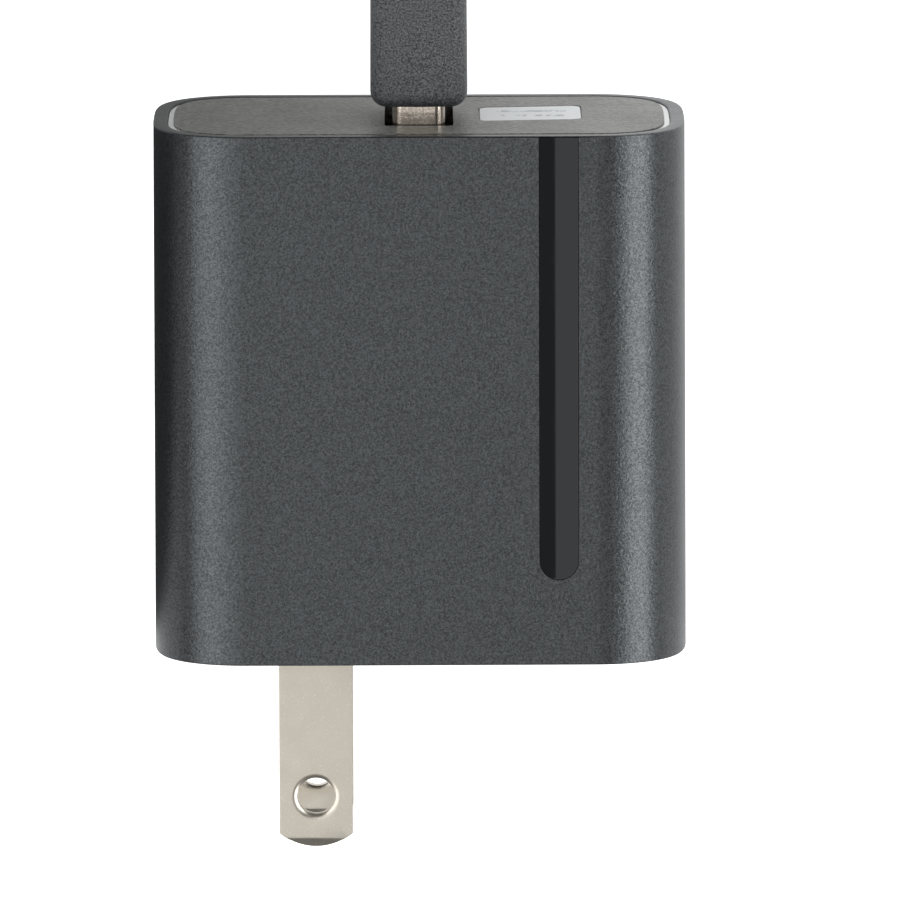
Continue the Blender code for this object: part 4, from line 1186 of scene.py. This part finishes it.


# %% [markdown]
# ## The cable
#
# A charging cable is a thin round cord, about 0.9 m long. It leaves the plug straight, comes
# down to the table in one soft curve, and the rest is wound into a flat coil of two layers, as
# it is sold. A cord's shape follows from its route, so the route comes first: listed points for
# the free stretch, and a loop that winds the coil. A curve object with a round bevel then gives
# the cord its thickness all along, which a sweep of rings would only repeat by hand.

# %% Wind the route
CORD_DIAMETER = 3.5 * MM
CORD_LIFT = 1.8 * MM       # the height of a turn's middle that lies on the table
TURN_PITCH = 3.6 * MM
COIL_CENTRE = Vector((-15.0 * MM, 108.0 * MM, 0.0))
OUTER_TURN = 26.0 * MM
TURNS_A_LAYER = 3
INNER_TURN = OUTER_TURN - TURNS_A_LAYER * TURN_PITCH
POINTS_A_TURN = 24
CLIMB_BULGE = 0.9 * MM
TIE_LIFT = 0.55 * MM
LEAD_POINTS = (
    (0.0, 64.4, 13.1), (0.0, 68.5, 13.1), (0.3, 72.5, 12.6), (1.1, 76.5, 11.2),
    (2.3, 80.5, 9.1), (3.5, 84.4, 6.9), (5.2, 88.8, 4.6), (7.2, 93.2, 3.0),
    (8.9, 97.6, 2.2), (10.2, 102.0, 1.85), (10.9, 105.2, 1.8),
)
TAIL_POINTS = (
    (-41.0, 104.4, 5.3), (-41.0, 100.4, 5.0), (-41.0, 96.6, 4.5),
    (-41.0, 93.2, 4.0), (-41.0, 91.6, 3.7), (-41.0, 89.9, 3.5),
)


def on_coil(turn, radius, height):
    """A point of the coil, a number of turns from its right-hand side."""
    angle = 2 * math.pi * turn
    return COIL_CENTRE + Vector((radius * math.cos(angle), radius * math.sin(angle), height))


def coil_points():
    """Three turns inwards on the table, half a turn up, and three turns outwards on top.

    The half turn that climbs bulges inwards, clear of its neighbours, and every turn is lifted
    by the strap's thickness where the strap passes under it, a quarter of the way round.
    """
    points = []
    inwards = TURNS_A_LAYER * POINTS_A_TURN
    rise = POINTS_A_TURN // 2
    for step in range(inwards + rise + inwards + 1):
        done = step / POINTS_A_TURN
        if step <= inwards:
            radius = OUTER_TURN - TURN_PITCH * done
            height = CORD_LIFT
        elif step <= inwards + rise:
            share = (step - inwards) / rise
            radius = INNER_TURN - CLIMB_BULGE * math.sin(math.pi * share)
            height = CORD_LIFT + TURN_PITCH * math.sin(math.pi / 2 * share)
        else:
            radius = INNER_TURN + TURN_PITCH * (step - inwards - rise) / POINTS_A_TURN
            height = CORD_LIFT + TURN_PITCH
        from_tie = abs((step - POINTS_A_TURN // 4 + rise) % POINTS_A_TURN - rise)
        if from_tie <= 1:
            height += TIE_LIFT
        points.append(on_coil(done, radius, height))
    return points


route = [Vector(p) * MM for p in LEAD_POINTS] + coil_points() + [Vector(p) * MM for p in TAIL_POINTS]


# %% Make the cord
def smooth_line(points, steps):
    """More points on a smooth curve that passes through all the given ones."""
    padded = [2 * points[0] - points[1], *points, 2 * points[-1] - points[-2]]
    made = [points[0]]
    for before, start, end, after in zip(padded, padded[1:], padded[2:], padded[3:]):
        for step in range(1, steps + 1):
            t = step / steps
            bend = (2 * before - 5 * start + 4 * end - after) * t**2
            twist = (3 * start - before - 3 * end + after) * t**3
            made.append((2 * start + (end - before) * t + bend + twist) / 2)
    return made


def cord_from(points, name):
    line = bpy.data.curves.new(name, "CURVE")
    line.dimensions = "3D"
    line.bevel_depth = CORD_DIAMETER / 2
    line.bevel_resolution = 4
    line.use_fill_caps = True
    spline = line.splines.new("POLY")
    placed = smooth_line(points, 3)
    spline.points.add(len(placed) - 1)
    for point, place in zip(spline.points, placed):
        point.co = (*place, 1.0)
    spline.use_smooth = True
    return new_object(name, line)


usb_cord = cord_from(route, "usb_cord")
usb_cord.data.materials.append(jacket)
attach(usb_cord, "cable")
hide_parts("cord_lead", "cord_coil", "cord_tail")

# %% [markdown]
# A strap of woven nylon holds the coil. It is one flat loop with round corners: an outer bar
# with round edges, a smaller one taken out of it, and the strap's loose end laid over the top.

# %% Coil strap
STRAP = 0.6 * MM
STRAP_LOW = 0.02 * MM
TAB_INSET = 0.15 * MM
TAB_SINK = 0.1 * MM
tie_low, tie_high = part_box("coil_tie")
LOOP_NEAR = COIL_CENTRE.y + 11.5 * MM
LOOP_FAR = COIL_CENTRE.y + 27.55 * MM
LOOP_TOP = 8.35 * MM
LOOP_ROUND = 2.0 * MM
TAB_REACH = 9.5 * MM

outer_low, outer_high = (tie_low.x, LOOP_NEAR, STRAP_LOW), (tie_high.x, LOOP_FAR, LOOP_TOP)
inner_low = (tie_low.x - THROUGH, LOOP_NEAR + STRAP, STRAP_LOW + STRAP)
inner_high = (tie_high.x + THROUGH, LOOP_FAR - STRAP, LOOP_TOP - STRAP)
strap = rounded_bar("coil_strap", outer_low, outer_high, LOOP_ROUND, steps=8, axis=0)
combine(strap, rounded_bar("strap_inside", inner_low, inner_high, LOOP_ROUND - STRAP, steps=8, axis=0))
tab_y, tab_z = LOOP_NEAR + LOOP_ROUND, LOOP_TOP - TAB_SINK
tab_low = (tie_low.x + TAB_INSET, tab_y, tab_z)
tab_high = (tie_high.x - TAB_INSET, tab_y + TAB_REACH, tab_z + STRAP)
combine(strap, box_piece("strap_end", tab_low, tab_high), "UNION")
round_edges(strap, 0.15 * MM, segments=3)
deliver(strap, "cable", "tie_strap", ["coil_tie"], woven, angle=35)

# %% [markdown]
# ## Parts inside
#
# The circuit board's parts, the contacts and the springs keep their plain shapes, because the
# housing hides them. Each takes the finish of its kind.

# %% Finishes on the parts inside
inside_parts = []
for entry in frame["record"]["subparts"]:
    if entry["material_slot"] in inside_finishes:
        inside_parts.append(entry["node"])
        finishes = frame["nodes"][entry["node"]].data.materials
        finishes.clear()
        finishes.append(inside_finishes[entry["material_slot"]])
print("parts inside:", len(inside_parts))
